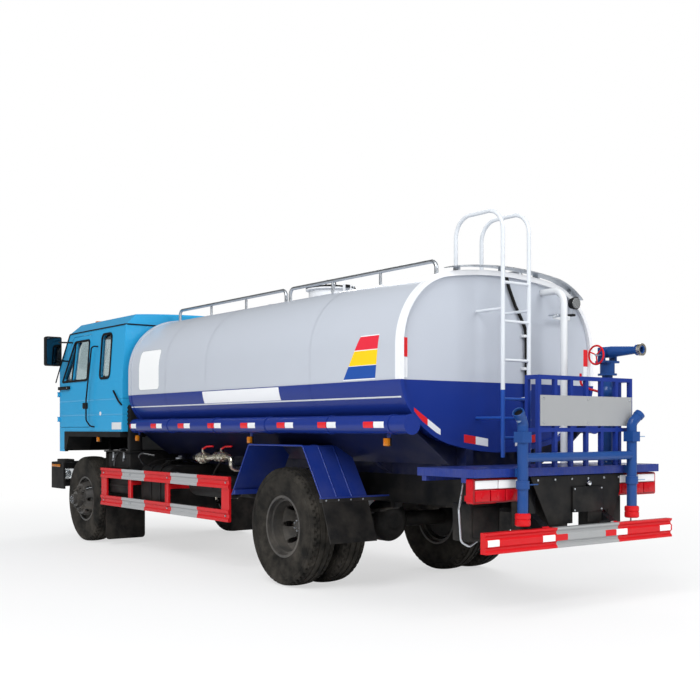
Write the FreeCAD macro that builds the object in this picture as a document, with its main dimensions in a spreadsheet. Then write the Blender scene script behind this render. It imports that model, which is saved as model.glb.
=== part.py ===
"""Two-axle water tanker: a tilting forward-control cab, a flattened-oval tank and a rear spraying platform.

Millimetres, +X towards the front bumper, +Y to the driver's left, +Z up.
The origin lies on the ground, midway between the front bumper and the rear underrun bar.
"""
import FreeCAD, Part
import math
import os
import re
import Sketcher

V = FreeCAD.Vector

# Driving dimensions. Lengths along the truck are taken from the nearer axle, heights from the ground.
SIZES = {
    # whole truck
    "wheelbase": 4600, "rear_overhang": 2460, "front_overhang": 1280, "cut_over": 20, "touch_gap": 0.3,
    "fit_gap": 0.05, "shut_gap": 6,
    # wheels
    "tyre_radius": 527, "bead_radius": 266, "shoulder_round": 34, "shoulder_bow": 6, "side_bulge": 26,
    "tread_half": 108, "rim_width": 206, "rim_wall": 12, "rim_well": 26, "well_half": 46, "rim_lip": 14,
    "lip_width": 12, "front_track": 2006, "rear_track": 1800, "disc_wall": 14, "disc_set": 165,
    "disc_ring": 186, "hub_radius": 92, "hub_in": 180, "hub_out": 66, "cap_radius": 60, "spindle_out": 40,
    "cap_out": 40, "hand_hole_ring": 204, "hand_hole_radius": 26, "hand_hole_count": 8, "drum_radius": 205,
    "drum_width": 130, "drum_wall": 16, "drum_gap": 40, "drum_plate_wall": 10,
    # axles and steering
    "spindle_radius": 36, "rear_spindle_radius": 46, "kingpin_side": 800, "kingpin_radius": 20,
    "eye_radius": 46, "eye_height": 96, "ear_height": 32, "ear_gap": 6, "beam_width": 84, "beam_depth": 80,
    "beam_web": 30, "beam_flange": 18, "beam_drop": 120, "drop_inner": 560, "arm_length": 230,
    "arm_width": 44, "arm_thick": 20, "rod_radius": 16, "ball_radius": 11, "ball_gap": 1, "stud_drop": 40,
    "rod_end_radius": 26, "rod_end_height": 34, "rod_below": 10, "steer_web": 56, "axle_tube_radius": 76,
    "banjo_radius": 200, "banjo_half_width": 120, "pinion_radius": 88, "pinion_reach": 420,
    "cover_radius": 150, "cover_depth": 130, "cover_bulge": 30,
    # springs and propeller shaft
    "spring_width": 74, "front_spring_half": 640, "rear_spring_half": 640, "leaf_thick": 14, "leaf_count": 3,
    "front_rise": 150, "rear_rise": 50, "middle_leaf_share": 0.72, "short_leaf_share": 0.44,
    "hanger_half": 34, "spring_seat": 10, "clip_half": 60, "clip_thick": 12, "shaft_radius": 42,
    "joint_radius": 60, "joint_length": 90, "output_height": 740,
    # chassis frame
    "frame_half_width": 430, "spring_inset": 38, "engine_inset": 64, "box_out": 40, "reservoir_out": 170,
    "silencer_away": 210, "pump_away": 290, "frame_depth": 250, "frame_top": 1000, "flange_width": 76,
    "frame_wall": 9, "frame_front": 1000, "frame_rear": 2230, "cross_depth": 150, "cross_wall": 9,
    "cross_flange": 60,
    # engine
    "engine_low": 640, "engine_high": 1300, "engine_front": 560, "engine_rear": 520, "gearbox_length": 520,
    "gearbox_half_width": 180, "gearbox_low": 600, "gearbox_high": 900, "foot_half": 50, "foot_height": 40,
    # cab
    "cab_half_width": 1153, "cab_rear": 1200, "cab_floor": 1360, "apron_drop": 255, "break_drop": 100,
    "grille_drop": 70, "door_sill": 52, "tip_drop": 230, "floor_thick": 50, "cab_wall": 46,
    "roof_height": 2792, "roof_rise": 40, "roof_front": 440, "roof_back_drop": 60, "screen_base": 905,
    "nose_front": 1130, "apron_rear": 560, "apron_front": 1085, "corner_start": 720, "front_bow": 66,
    "corner_bulge": 26, "apron_wall": 40, "door_rear": 240, "door_front": 745, "door_top_front": 360,
    "door_corner": 60, "glass_border": 70, "glass_thick": 6, "side_reach": 330, "glass_depth": 20,
    "vent_at": 322, "vent_lean": 60, "divider_half": 14, "glass_corner": 40, "quarter_rear": 835,
    "quarter_front": 545, "quarter_corner": 60, "screen_corner": 70, "back_glass_corner": 80,
    "grille_proud": 26, "grille_slot": 9, "grille_bar": 24, "grille_rows": 6, "grille_border": 30,
    "door_eye": 12, "door_pin": 5, "hinge_length": 36, "hinge_lug": 14, "leaf_length": 44,
    # cab mounting
    "tilt_ahead": 900, "post_inset": 110, "tilt_height": 1056, "tilt_pin": 16, "tilt_eye": 38,
    "tilt_arm_width": 40, "tilt_lug_gap": 6, "tilt_lug_width": 32, "tilt_lug_half": 40, "post_half": 45,
    "post_half_width": 36,
    # cab inside
    "seat_front": 310, "seat_depth": 480, "seat_base_inset": 60, "back_thick": 120, "back_lean": 110,
    "seat_round": 40, "dash_depth": 330, "dash_gap": 30, "dash_slope": 90, "dash_drop": 60,
    "wheel_ring": 225, "wheel_tube": 15, "wheel_centre": 575, "wheel_tilt": 28, "column_back": 40,
    "boss_radius": 55, "boss_height": 40, "spoke_width": 34, "spoke_thick": 14, "column_radius": 30,
    # mirrors and arches
    "mirror_half_width": 105, "mirror_depth": 60, "mirror_ahead": 440, "mirror_round": 24,
    "mirror_arm_radius": 10, "mirror_foot": 70, "grab_out": 52, "grab_radius": 9, "grab_bend": 40,
    "grab_gap": 20, "grab_top_back": 170, "grab_foot_back": 130, "arch_rear": 1170, "arch_front": 540,
    "arch_drop": 62, "arch_lip": 60, "arch_out": 14, "arch_in": 300,
    # bumper and lamps
    "bumper_low": 620, "bumper_high": 960, "bumper_back": 610, "bumper_wall": 26, "bumper_corner": 200,
    "bumper_bow": 50, "bumper_bulge": 34, "bracket_low": 750, "bracket_high": 850, "bracket_half": 40,
    "lamp_half_width": 150, "lamp_low": 720, "lamp_high": 860, "lamp_set": 12, "lamp_depth": 60,
    # chassis side equipment
    "battery_out": 1085, "battery_low": 640, "battery_high": 1120, "battery_round": 24, "step_groove": 16,
    "step_pitch": 75, "fuel_out": 1050, "fuel_low": 470, "fuel_high": 990, "fuel_round": 90,
    "strap_half": 26, "strap_proud": 6, "strap_in": 120, "cap_neck": 46, "cap_neck_high": 60,
    "reservoir_radius": 118, "reservoir_spread": 252, "reservoir_height": 800, "reservoir_round": 46,
    "silencer_radius": 130, "tail_pipe_back": 75, "silencer_height": 800, "tail_pipe_radius": 36,
    "tail_pipe_out": 1060, "tail_pipe_drop": 150, "guard_front": -580, "guard_gap": 70, "guard_low": 492,
    "guard_high": 930, "guard_rail": 114, "rib_low_share": 0.375, "rib_high_share": 0.625,
    "rib_top_share": 0.75, "guard_out": 1155, "guard_depth": 34, "guard_rib": 12, "guard_end": 150,
    "guard_bar": 50, "guard_leg_high": 780, "leg_half": 25,
    # rear mudguards
    "mud_top": 1245, "mud_top_front": 605, "mud_top_rear": 289, "mud_front": 915, "mud_front_low": 762,
    "mud_rear": 574, "mud_rear_low": 802, "flap_rear": 711, "flap_low": 430, "mud_wall": 8, "mud_in": 662,
    "mud_out": 1150, "mud_arm_half": 22, "mud_arm_up": 790, "mud_arm_ahead": 880, "mud_arm_behind": 566,
    # rear underrun bar, panel and tail lamps
    "bar_half_width": 1060, "bar_low": 503, "bar_high": 655, "bar_depth": 60, "bar_rib": 14,
    "bar_flange": 42, "bar_leg_half": 36, "panel_left": 458, "panel_right": 625, "panel_low_left": 257,
    "panel_low_right": 481, "panel_high": 1030, "panel_low": 660, "panel_wall": 8, "notch_half": 90,
    "notch_high": 860, "notch_middle": -100, "tail_out": 1050, "tail_in": 800, "tail_low": 850,
    "tail_high": 1030, "tail_back": 2300, "tail_depth": 60, "tail_lip": 18, "tail_set": 8,
    "tail_arm_high": 40,
    # tank
    "tank_rear": 1580, "cab_gap": 90, "tank_fit": 70, "tank_half_width": 1110, "tank_side_low": 1800,
    "tank_side_high": 2040, "crown_half": 600, "crown_edge": 2640, "crown_rise": 48, "shoulder_bulge": 145,
    "lower_half": 1030, "lower_edge": 1560, "lower_bulge": 20, "belly_half": 620, "belly_edge": 1285,
    "belly_bulge": 43, "belly_drop": 77, "rim_ring": 60, "rim_proud": 12, "head_set": 30, "head_inset": 30,
    "band_low": 1640, "band_high": 1775, "band_proud": 6, "neck_radius": 225, "neck_wall": 12,
    "neck_high": 2815, "neck_flange": 256, "flange_thick": 14, "well_depth": 620, "lid_thick": 16,
    "manhole_ahead": 900, "lid_rise": 26, "lid_dome": 190, "hinge_back": 280, "lid_grip": 60,
    "grip_high": 50, "grip_bend": 22, "grip_radius": 7, "lid_ear_half": 26, "hinge_pin": 8, "hinge_eye": 16,
    "hinge_ear_gap": 5, "hinge_ear_wall": 12,
    # tank carriers
    "tray_in": 617, "tray_low": 1106, "tray_out": 990, "tray_high": 1384, "tray_wall": 8, "saddle_half": 30,
    "sill_half": 38, "hose_radius": 75, "hose_side": 1058, "hose_height": 1427, "hose_rear": 1650,
    "hose_cap": 14, "hose_cap_proud": 6,
    # tank top fittings
    "rail_side": 500, "rail_radius": 17, "rail_high": 2780, "rail_bend": 60, "rail_post_less": 4,
    "rear_rail_back": 1295, "top_band_left": 620, "top_band_right": 920, "top_band_rise": 40,
    "top_band_thick": 6, "top_band_half": 55, "clip_width": 24, "ladder_back": 1850, "ladder_left": 287,
    "ladder_right": 9, "ladder_radius": 17, "ladder_low": 1165, "hoop_high": 3150, "hoop_front": 1300,
    "hoop_bend": 170, "rung_radius": 12, "rung_pitch": 310, "rung_low": 1320, "rung_count": 5,
    "stay_height": 1480, "stay_height_high": 2350, "stay_radius": 12, "overflow_radius": 50,
    "overflow_side": 485, "overflow_back": 1800, "overflow_high": 2550, "overflow_bend": 110,
    "overflow_clip": 2300,
    # rear platform and railing
    "deck_front": 1700, "deck_rear": 2335, "deck_half_width": 1050, "deck_high": 1100, "deck_skirt": 62,
    "deck_wall": 8, "deck_cross": 50, "post_radius": 16, "fence_left": 379, "fence_right": 693,
    "fence_back": 2316, "fence_high": 1800, "fence_posts": 7, "fence_return": 2206, "fence_middle": 1400,
    "fence_kick": 90, "sign_low": 1415, "sign_high": 1647, "sign_thick": 6,
    # spraying gear
    "spray_side": 626, "spray_back": 2392, "spray_radius": 40, "spray_low": 680, "spray_high": 1440,
    "spray_mouth": 60, "spray_mouth_back": 20, "spray_bend": 70, "manifold_height": 1180,
    "manifold_radius": 34, "spray_cap": 46, "spray_cap_high": 90, "valve_half": 46, "valve_low": 1290,
    "valve_high": 1370, "lever_low": 980, "lever_length": 100, "lever_half": 15, "lever_thick": 8,
    "collar_radius": 50, "collar_half": 30, "pump_radius": 150, "pump_width": 110, "pump_height": 800,
    "pipe_radius": 38, "pipe_side": 530, "pipe_height": 900, "pump_motor_radius": 90,
    "pump_motor_length": 260, "cannon_back": 2100, "cannon_side": 680, "riser_radius": 44,
    "riser_flange": 78, "riser_high": 1850, "flange_plate": 16, "cannon_height": 2030, "swivel_radius": 60,
    "swivel_gap": 1, "spigot_high": 60, "yoke_half": 82, "yoke_wall": 18, "yoke_high": 75,
    "barrel_radius": 48, "barrel_tip": 30, "barrel_wall": 6, "barrel_back": 45, "barrel_length": 350,
    "trunnion_radius": 16, "nozzle_flare": 46,
}

# Levels in the cab, as shares of the height from its floor to the top of its roof.
CAB_LEVEL_SHARES = {
    "waist_height": 0.4225, "gutter_height": 0.8659, "shoulder_height": 0.9511, "roof_front_height": 0.9358,
    "nose_high": 0.2304, "door_high": 0.8345, "door_waist": 0.3946, "glass_low": 0.4434,
    "quarter_high": 0.8135, "screen_low": 0.4679, "screen_high": 0.8659, "back_glass_low": 0.433,
    "back_glass_high": 0.7402, "grille_high": 0.1955, "hinge_low": 0.0978, "hinge_high": 0.3212,
    "seat_low": 0.1955, "seat_high": 0.2863, "back_high": 0.6774, "dash_low": 0.1816, "dash_high": 0.398,
    "wheel_height": 0.4365, "mirror_low": 0.5796, "mirror_high": 0.838, "grab_high": 0.7193,
    "grab_knee_high": 0.2723, "grab_knee_low": 0.0978, "grab_low": 0.0419,
}

# Half widths in the cab and its bumper, as shares of the cab's half width.
CAB_WIDTH_SHARES = {
    "gutter_half_width": 0.961, "shoulder_half_width": 0.8543, "corner_half_width": 0.8326,
    "screen_half_low": 0.876, "screen_half_high": 0.8066, "back_glass_half": 0.5377, "grille_half": 0.5377,
    "dash_half_width": 0.9107, "bumper_half_width": 0.9974, "bumper_corner_half": 0.8066,
    "seat_side": 0.4857, "seat_half_width": 0.2082, "bench_half_width": 0.1995, "lamp_side": 0.6938,
    "mirror_side": 1.1665,
}

# Lengths and places between the axles, as shares of the wheelbase.
WHEELBASE_SHARES = {
    "battery_front": -0.1446, "battery_length": 0.1304, "fuel_front": -0.3217, "fuel_length": 0.15,
    "reservoir_front": -0.5283, "reservoir_length": 0.1804, "silencer_front": -0.3109,
    "silencer_length": 0.1522, "pump_ahead": 0.3261, "rear_rail_front": 0.1935,
    "front_rail_back": 0.2098,
}

# Places worked out from the sizes, spelled out wherever a formula names them.
PLACES = {
    "rear_axle": "(rear_overhang - wheelbase - front_overhang) / 2",
    "front_axle": "rear_axle + wheelbase",
    "rear_end": "rear_axle - rear_overhang",
    "front_end": "front_axle + front_overhang",
    "frame_low": "frame_top - frame_depth",
    "rail_in": "frame_half_width - flange_width",
    "web_in": "frame_half_width - frame_wall",
    "front_wheel": "front_track / 2",
    "rear_wheel": "rear_track / 2",
    "tank_back": "rear_axle - tank_rear",
    "tank_ahead": "front_axle - cab_rear - cab_gap",
    "gearbox_end": "front_axle - engine_rear - gearbox_length",
    "floor_top": "cab_floor + floor_thick",
    "deck_back": "rear_axle - deck_rear",
    "apron_low": "cab_floor - apron_drop",
    "nose_break": "cab_floor - break_drop",
    "grille_low": "cab_floor - grille_drop",
    "arch_tip": "cab_floor - tip_drop",
    "door_low": "cab_floor + door_sill",
    "spring_side": "frame_half_width - spring_inset",
    "box_in": "frame_half_width + box_out",
    "engine_half_width": "rail_in - engine_inset",
    "reservoir_side": "frame_half_width + reservoir_out",
    "silencer_side": "frame_half_width + silencer_away",
    "pump_side": "frame_half_width + pump_away",
    "guard_rear": "mud_front + guard_gap",
    "column_length": "(wheel_height - dash_low + column_radius) / cos(wheel_tilt)",
}
for name, share in CAB_LEVEL_SHARES.items():
    SIZES[name + "_share"] = share
    PLACES[name] = f"cab_floor + (roof_height - cab_floor) * {name}_share"
for name, share in CAB_WIDTH_SHARES.items():
    SIZES[name + "_share"] = share
    PLACES[name] = f"cab_half_width * {name}_share"
for name, share in WHEELBASE_SHARES.items():
    SIZES[name + "_share"] = share
    PLACES[name] = f"wheelbase * {name}_share"

# Shares of the rear overhang and of the wheelbase at which crossmembers stand, of the side guard at which its
# legs do, and of the tank at which its saddles do, from the rear.
REAR_CROSS_SHARES = (0.93, 0.41)
CROSS_SHARES = (0.2, 0.42, 0.66)
FRONT_CROSS_SHARE = 0.874
GUARD_LEG_SHARES = (0.041, 0.43, 0.735)
SADDLE_SHARES = (0.03, 0.2, 0.4, 0.6, 0.8, 0.97)
POST_SHARES = (0.34, 0.67)
# Shares of the curved step at which its clips stand, from the middle
STEP_CLIP_SHARES = (-0.9, -0.45, 0, 0.55)

doc = FreeCAD.newDocument("WaterTanker")
sheet = doc.addObject("Spreadsheet::Sheet", "Sizes")
for row, (name, size) in enumerate(SIZES.items(), start=1):
    sheet.set(f"A{row}", name)
    sheet.set(f"B{row}", str(size))
    sheet.setAlias(f"B{row}", name)
doc.recompute()

WORD = re.compile(r"[a-z]+(?:_[a-z]+)*")
ORIGIN_PLANES = {"X": "YZ_Plane", "Y": "XZ_Plane", "Z": "XY_Plane"}
TURNS = {
    "X": FreeCAD.Rotation(V(0, 1, 0), 90),
    "Y": FreeCAD.Rotation(V(1, 0, 0), -90),
    "Z": FreeCAD.Rotation(),
}
nodes = {}


def bound(formula):
    """Spell out the places in a formula and point its sizes at the sheet."""
    def spelled(match):
        word = match.group(0)
        if word in PLACES:
            return "(" + bound(PLACES[word]) + ")"
        return "Sizes." + word if word in SIZES else word
    return WORD.sub(spelled, str(formula))


def value(formula):
    return float(sheet.evalExpression(bound(formula)))


def point(x, y, z):
    return V(value(x), value(y), value(z))


def bind(thing, name, formula):
    thing.setExpression(name, bound(formula))


def place(thing, at, turn=FreeCAD.Rotation()):
    """Bind the position of a feature to three formulas, with a fixed turn."""
    thing.Placement = FreeCAD.Placement(point(*at), turn)
    for letter, formula in zip("xyz", at):
        bind(thing, f".Placement.Base.{letter}", formula)
    return thing


def box(name, x, y, z):
    """A block between the low and high formulas of each axis."""
    thing = doc.addObject("Part::Box", name)
    bind(thing, "Length", f"({x[1]}) - ({x[0]})")
    bind(thing, "Width", f"({y[1]}) - ({y[0]})")
    bind(thing, "Height", f"({z[1]}) - ({z[0]})")
    return place(thing, (x[0], y[0], z[0]))


def cylinder(name, axis, start, length, radius):
    """A round bar from its start, along one axis."""
    thing = doc.addObject("Part::Cylinder", name)
    bind(thing, "Radius", radius)
    bind(thing, "Height", length)
    return place(thing, start, TURNS[axis])


def rod(name, start, end, radius):
    """A round bar between two points that share no axis."""
    run = point(*end) - point(*start)
    thing = doc.addObject("Part::Cylinder", name)
    bind(thing, "Radius", radius)
    steps = [f"(({b}) - ({a}))^2" for a, b in zip(start, end)]
    bind(thing, "Height", "sqrt(" + " + ".join(steps) + ")")
    return place(thing, start, FreeCAD.Rotation(V(0, 0, 1), run))


def draw(sketch, outline):
    """Draw a closed outline; a third value on a point is how far the next edge bows to its left."""
    spots = [V(value(spot[0]), value(spot[1]), 0) for spot in outline]
    ends = []
    for index, spot in enumerate(outline):
        start = spots[index]
        end = spots[(index + 1) % len(spots)]
        bow = value(spot[2]) if len(spot) > 2 else 0
        if bow:
            run = end - start
            side = V(-run.y, run.x, 0).normalize()
            edge = sketch.addGeometry(Part.Arc(start, (start + end) / 2 + side * bow, end))
        else:
            edge = sketch.addGeometry(Part.LineSegment(start, end))
        first = 1 if (sketch.getPoint(edge, 1) - start).Length < (sketch.getPoint(edge,
                                                                                  2) - start).Length else 2
        ends.append((edge, first, 3 - first))
    for index, (edge, first, last) in enumerate(ends):
        follower, head = ends[(index + 1) % len(ends)][:2]
        sketch.addConstraint(Sketcher.Constraint("Coincident", edge, last, follower, head))
        for kind, formula, size in zip(("DistanceX", "DistanceY"), outline[index], spots[index]):
            count = sketch.addConstraint(Sketcher.Constraint(kind, -1, 1, edge, first, size))
            sketch.setExpression(f"Constraints[{count}]", bound(formula))
        if len(outline[index]) > 2 and value(outline[index][2]):
            after = outline[(index + 1) % len(outline)]
            here = outline[index]
            chord = f"(({after[0]}) - ({here[0]}))^2 + (({after[1]}) - ({here[1]}))^2"
            radius = f"(({chord}) / 4 + ({here[2]})^2) / (2 * abs({here[2]}))"
            count = sketch.addConstraint(Sketcher.Constraint("Radius", edge, value(radius)))
            sketch.setExpression(f"Constraints[{count}]", bound(radius))


def new_sketch(body, name, axis, offset):
    plane = [item for item in body.Origin.OriginFeatures if item.Role == ORIGIN_PLANES[axis]][0]
    sketch = body.newObject("Sketcher::SketchObject", name + "Sketch")
    sketch.AttachmentSupport = [(plane, "")]
    sketch.MapMode = "FlatFace"
    bind(sketch, ".AttachmentOffset.Base.z", offset)
    return sketch


def pad(name, axis, outline, low, high, rounds=None):
    """An outline raised along one axis from low to high, with chosen upright edges rounded."""
    body = doc.addObject("PartDesign::Body", name)
    sketch = new_sketch(body, name, axis, f"-({high})" if axis == "Y" else low)
    draw(sketch, outline)
    feature = body.newObject("PartDesign::Pad", name + "Pad")
    feature.Profile = sketch
    bind(feature, "Length", f"({high}) - ({low})")
    for radius in dict.fromkeys((rounds or {}).values()):
        doc.recompute()
        corners = [outline[index] for index, size in rounds.items() if size == radius]
        edges = corner_edges(feature.Shape, axis, corners)
        fillet = body.newObject("PartDesign::Fillet", name + "Fillet")
        fillet.Base = (feature, edges)
        bind(fillet, "Radius", radius)
        feature = fillet
    return body


def corner_edges(shape, axis, corners):
    """Names of the edges that stand on the given corners of an outline."""
    kept = "XYZ".replace(axis, "").lower()
    names = []
    for number, edge in enumerate(shape.Edges, start=1):
        low, high = edge.Vertexes[0].Point, edge.Vertexes[-1].Point
        for corner in corners:
            near = V(value(corner[0]), value(corner[1]), 0)
            spots = [V(getattr(end, kept[0]), getattr(end, kept[1]), 0) for end in (low, high)]
            if all((spot - near).Length < value("fit_gap") for spot in spots):
                names.append(f"Edge{number}")
    return names


def turned(name, axis, outline, at):
    """An outline of (along, out) pairs turned about an axis through a point."""
    body = doc.addObject("PartDesign::Body", name)
    upright = axis == "Z"
    sketch = new_sketch(body, name, "X" if axis == "Y" else "Y", "0")
    draw(sketch, [(spot[1], spot[0]) + tuple(spot[2:]) for spot in outline] if upright else outline)
    feature = body.newObject("PartDesign::Revolution", name + "Revolution")
    feature.Profile = sketch
    feature.ReferenceAxis = (sketch, ["V_Axis" if upright else "H_Axis"])
    feature.Angle = 360
    return place(body, at)


def bent_tube(name, spots, bend, radius):
    """A tube along straight runs joined by tangent arcs."""
    corners = [point(*spot) for spot in spots]
    edges = []
    last = corners[0]
    for before, corner, after in zip(corners, corners[1:], corners[2:]):
        back = (before - corner).normalize()
        ahead = (after - corner).normalize()
        half_turn = (math.pi - back.getAngle(ahead)) / 2
        reach = value(bend) * math.tan(half_turn)
        inward = (back + ahead).normalize() * value(bend) * (1 / math.cos(half_turn) - 1)
        edges.append(Part.LineSegment(last, corner + back * reach).toShape())
        edges.append(Part.Arc(corner + back * reach, corner + inward, corner + ahead * reach).toShape())
        last = corner + ahead * reach
    edges.append(Part.LineSegment(last, corners[-1]).toShape())
    ring = Part.Wire(Part.Circle(corners[0], corners[1] - corners[0], value(radius)).toShape())
    thing = doc.addObject("Part::Feature", name)
    thing.Shape = Part.Wire(edges).makePipe(Part.Face(ring))
    return thing


def mirrored(thing):
    other = doc.addObject("Part::Mirroring", thing.Name + "Right")
    other.Source = thing
    other.Normal = V(0, 1, 0)
    return other


def joined(name, things, kind="Part::MultiFuse"):
    whole = doc.addObject(kind, name)
    whole.Shapes = things
    return whole


def common(name, things):
    return joined(name, things, "Part::MultiCommon")


def less(name, base, *tools):
    """What is left of a piece when the tools are taken from it."""
    tool = tools[0] if len(tools) == 1 else joined(name + "Tools", list(tools))
    whole = doc.addObject("Part::Cut", name)
    whole.Base = base
    whole.Tool = tool
    return whole


def group(name, things):
    """Solids that do not touch, kept in one node."""
    whole = doc.addObject("Part::Compound", name)
    whole.Links = things
    return whole


def both_sides(name, thing):
    return group(name, [thing, mirrored(thing)])


def node(label, thing):
    thing.Label = label
    nodes[label] = thing
    return thing


def steps_round(count, ring):
    """Offsets forward and up of equal steps round a ring."""
    total = int(value(count))
    return [(f"({ring}) * cos(360 * {step} / {count})", f"({ring}) * sin(360 * {step} / {count})")
            for step in range(total)]


# Wheels

def tyre(name, axle, side):
    """A tyre turned about its axle, with rounded shoulders and bulging side walls."""
    bead = "(rim_width / 2 - lip_width - touch_gap)"
    outline = [
        (f"-{bead}", "bead_radius"),
        (bead, "bead_radius"),
        (bead, "bead_radius + rim_lip", "-side_bulge"),
        ("tread_half", "tyre_radius - shoulder_round / 2", "-shoulder_bow"),
        ("tread_half - shoulder_round", "tyre_radius"),
        ("shoulder_round - tread_half", "tyre_radius", "-shoulder_bow"),
        ("-tread_half", "tyre_radius - shoulder_round / 2", "-side_bulge"),
        (f"-{bead}", "bead_radius + rim_lip"),
    ]
    return turned(name, "Y", outline, (axle, side, "tyre_radius"))


def rim_ring(name, axle, side):
    """The channel that the tyre sits on, with its well and two lips."""
    seat = "bead_radius - touch_gap"
    top = "bead_radius + rim_lip - touch_gap"
    half = [
        ("rim_width / 2", top),
        ("rim_width / 2 - lip_width", top),
        ("rim_width / 2 - lip_width", seat),
        ("well_half", seat),
        ("well_half", f"{seat} - rim_well"),
    ]
    under = [
        ("well_half + rim_wall", f"{seat} - rim_well - rim_wall"),
        ("well_half + rim_wall", f"{seat} - rim_wall"),
        ("rim_width / 2", f"{seat} - rim_wall"),
    ]
    flipped = [(f"-({along})", out) for along, out in half]
    flipped_under = [(f"-({along})", out) for along, out in under]
    outline = half + flipped[::-1] + flipped_under[::-1] + under
    return turned(name, "Y", outline, (axle, side, "tyre_radius"))


def wheel_disc(name, axle, mount, outward):
    """The dished disc between hub and rim, with its row of hand holes."""
    reach = "disc_set"
    inner = f"({reach} - well_half)"
    rim_in = "bead_radius - touch_gap - rim_well - rim_wall / 2"
    sign = "-" if outward else ""
    outline = [
        ("0", "cap_radius"),
        ("0", "disc_ring"),
        (f"{sign}{inner}", rim_in),
        (f"{sign}({inner} + disc_wall)", rim_in),
        (f"{sign}disc_wall", "disc_ring - disc_wall / 2"),
        (f"{sign}disc_wall", "cap_radius"),
    ]
    disc = turned(name, "Y", outline, (axle, mount, "tyre_radius"))
    holes = []
    for ahead, above in steps_round("hand_hole_count", "hand_hole_ring"):
        start = f"({mount}) - disc_set - cut_over"
        spot = (f"{axle} + {ahead}", start, f"tyre_radius + {above}")
        holes.append(cylinder(name + "Hole", "Y", spot, "2 * (disc_set + cut_over)", "hand_hole_radius"))
    return less(name + "Cut", disc, *holes)


def hub(name, axle, mount, spindle):
    """Hub barrel with its cap and bore, and the brake drum behind it."""
    drum_out = "(disc_wall + drum_gap)"
    outline = [
        ("-hub_in", spindle),
        ("-hub_in", "hub_radius"),
        (f"-{drum_out} - drum_wall", "hub_radius"),
        (f"-{drum_out} - drum_wall", "drum_radius - drum_wall"),
        (f"-{drum_out} - drum_width", "drum_radius - drum_wall"),
        (f"-{drum_out} - drum_width", "drum_radius"),
        (f"-{drum_out}", "drum_radius"),
        (f"-{drum_out}", "hub_radius"),
        ("hub_out", "hub_radius"),
        ("hub_out", "cap_radius"),
        ("hub_out + cap_out", "cap_radius"),
        ("hub_out + cap_out", "0"),
        ("spindle_out + shut_gap", "0"),
        ("spindle_out + shut_gap", spindle),
    ]
    return turned(name, "Y", outline, (axle, mount, "tyre_radius"))


front_mount = "front_wheel + disc_set"
front_tyre = tyre("FrontTyre", "front_axle", "front_wheel")
front_rim = joined("FrontRim", [
    rim_ring("FrontRimRing", "front_axle", "front_wheel"),
    wheel_disc("FrontDisc", "front_axle", front_mount, True),
    hub("FrontHub", "front_axle", front_mount, "spindle_radius + fit_gap"),
])
node("front_tyre_left", front_tyre)
node("front_rim_left", front_rim)
node("front_tyre_right", mirrored(front_tyre))
node("front_rim_right", mirrored(front_rim))

inner_rear = "rear_wheel - disc_set"
outer_rear = "rear_wheel + disc_set"
rear_tyres = group("RearTyres", [
    tyre("RearTyreInner", "rear_axle", inner_rear),
    tyre("RearTyreOuter", "rear_axle", outer_rear),
])
rear_rims = joined("RearRims", [
    rim_ring("RearRimInner", "rear_axle", inner_rear),
    rim_ring("RearRimOuter", "rear_axle", outer_rear),
    wheel_disc("RearDiscInner", "rear_axle", "rear_wheel", True),
    wheel_disc("RearDiscOuter", "rear_axle", "rear_wheel", False),
    hub("RearHub", "rear_axle", "rear_wheel", "rear_spindle_radius + fit_gap"),
])
node("rear_tyres_left", rear_tyres)
node("rear_rims_left", rear_rims)
node("rear_tyres_right", mirrored(rear_tyres))
node("rear_rims_right", mirrored(rear_rims))


# Front axle, steering knuckles and tie rod

backplate_out = "(disc_wall + drum_gap + drum_width + shut_gap)"
beam_half = [
    ("drop_inner", "tyre_radius - beam_drop - beam_depth / 2"),
    ("kingpin_side - eye_radius - ear_gap", "tyre_radius - eye_height / 2"),
    ("kingpin_side", "tyre_radius - eye_height / 2"),
    ("kingpin_side", "tyre_radius + eye_height / 2"),
    ("kingpin_side - eye_radius", "tyre_radius + eye_height / 2"),
    ("drop_inner - beam_depth / 2", "tyre_radius - beam_drop + beam_depth / 2"),
]
beam_outline = beam_half + [(f"-({across})", up) for across, up in beam_half[::-1]]
groove_half = [
    ("drop_inner - beam_flange", "tyre_radius - beam_drop - beam_depth / 2 + beam_flange"),
    ("drop_inner - beam_flange", "tyre_radius - beam_drop + beam_depth / 2 - beam_flange"),
]
groove_outline = [groove_half[0], groove_half[1]] + [(f"-({across})", up) for across, up in groove_half[::-1]]
beam = pad("BeamBar", "X", beam_outline, "front_axle - beam_width / 2", "front_axle + beam_width / 2")
grooves = [
    pad("BeamGrooveFront", "X", groove_outline, "front_axle + beam_web / 2",
        "front_axle + beam_width / 2 + cut_over"),
    pad("BeamGrooveRear", "X", groove_outline, "front_axle - beam_width / 2 - cut_over",
        "front_axle - beam_web / 2"),
]
eye_spot = ("front_axle", "kingpin_side", "tyre_radius - eye_height / 2")
eye = cylinder("BeamEye", "Z", eye_spot, "eye_height", "eye_radius")
bore_spot = ("front_axle", "kingpin_side", "tyre_radius - eye_height / 2 - cut_over")
bore = cylinder("BeamBore", "Z", bore_spot, "eye_height + 2 * cut_over", "kingpin_radius + fit_gap")
beam_whole = joined("BeamWhole", [beam, eye, mirrored(eye)])
node("front_axle_beam", less("FrontBeam", beam_whole, *grooves, bore, mirrored(bore)))

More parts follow.
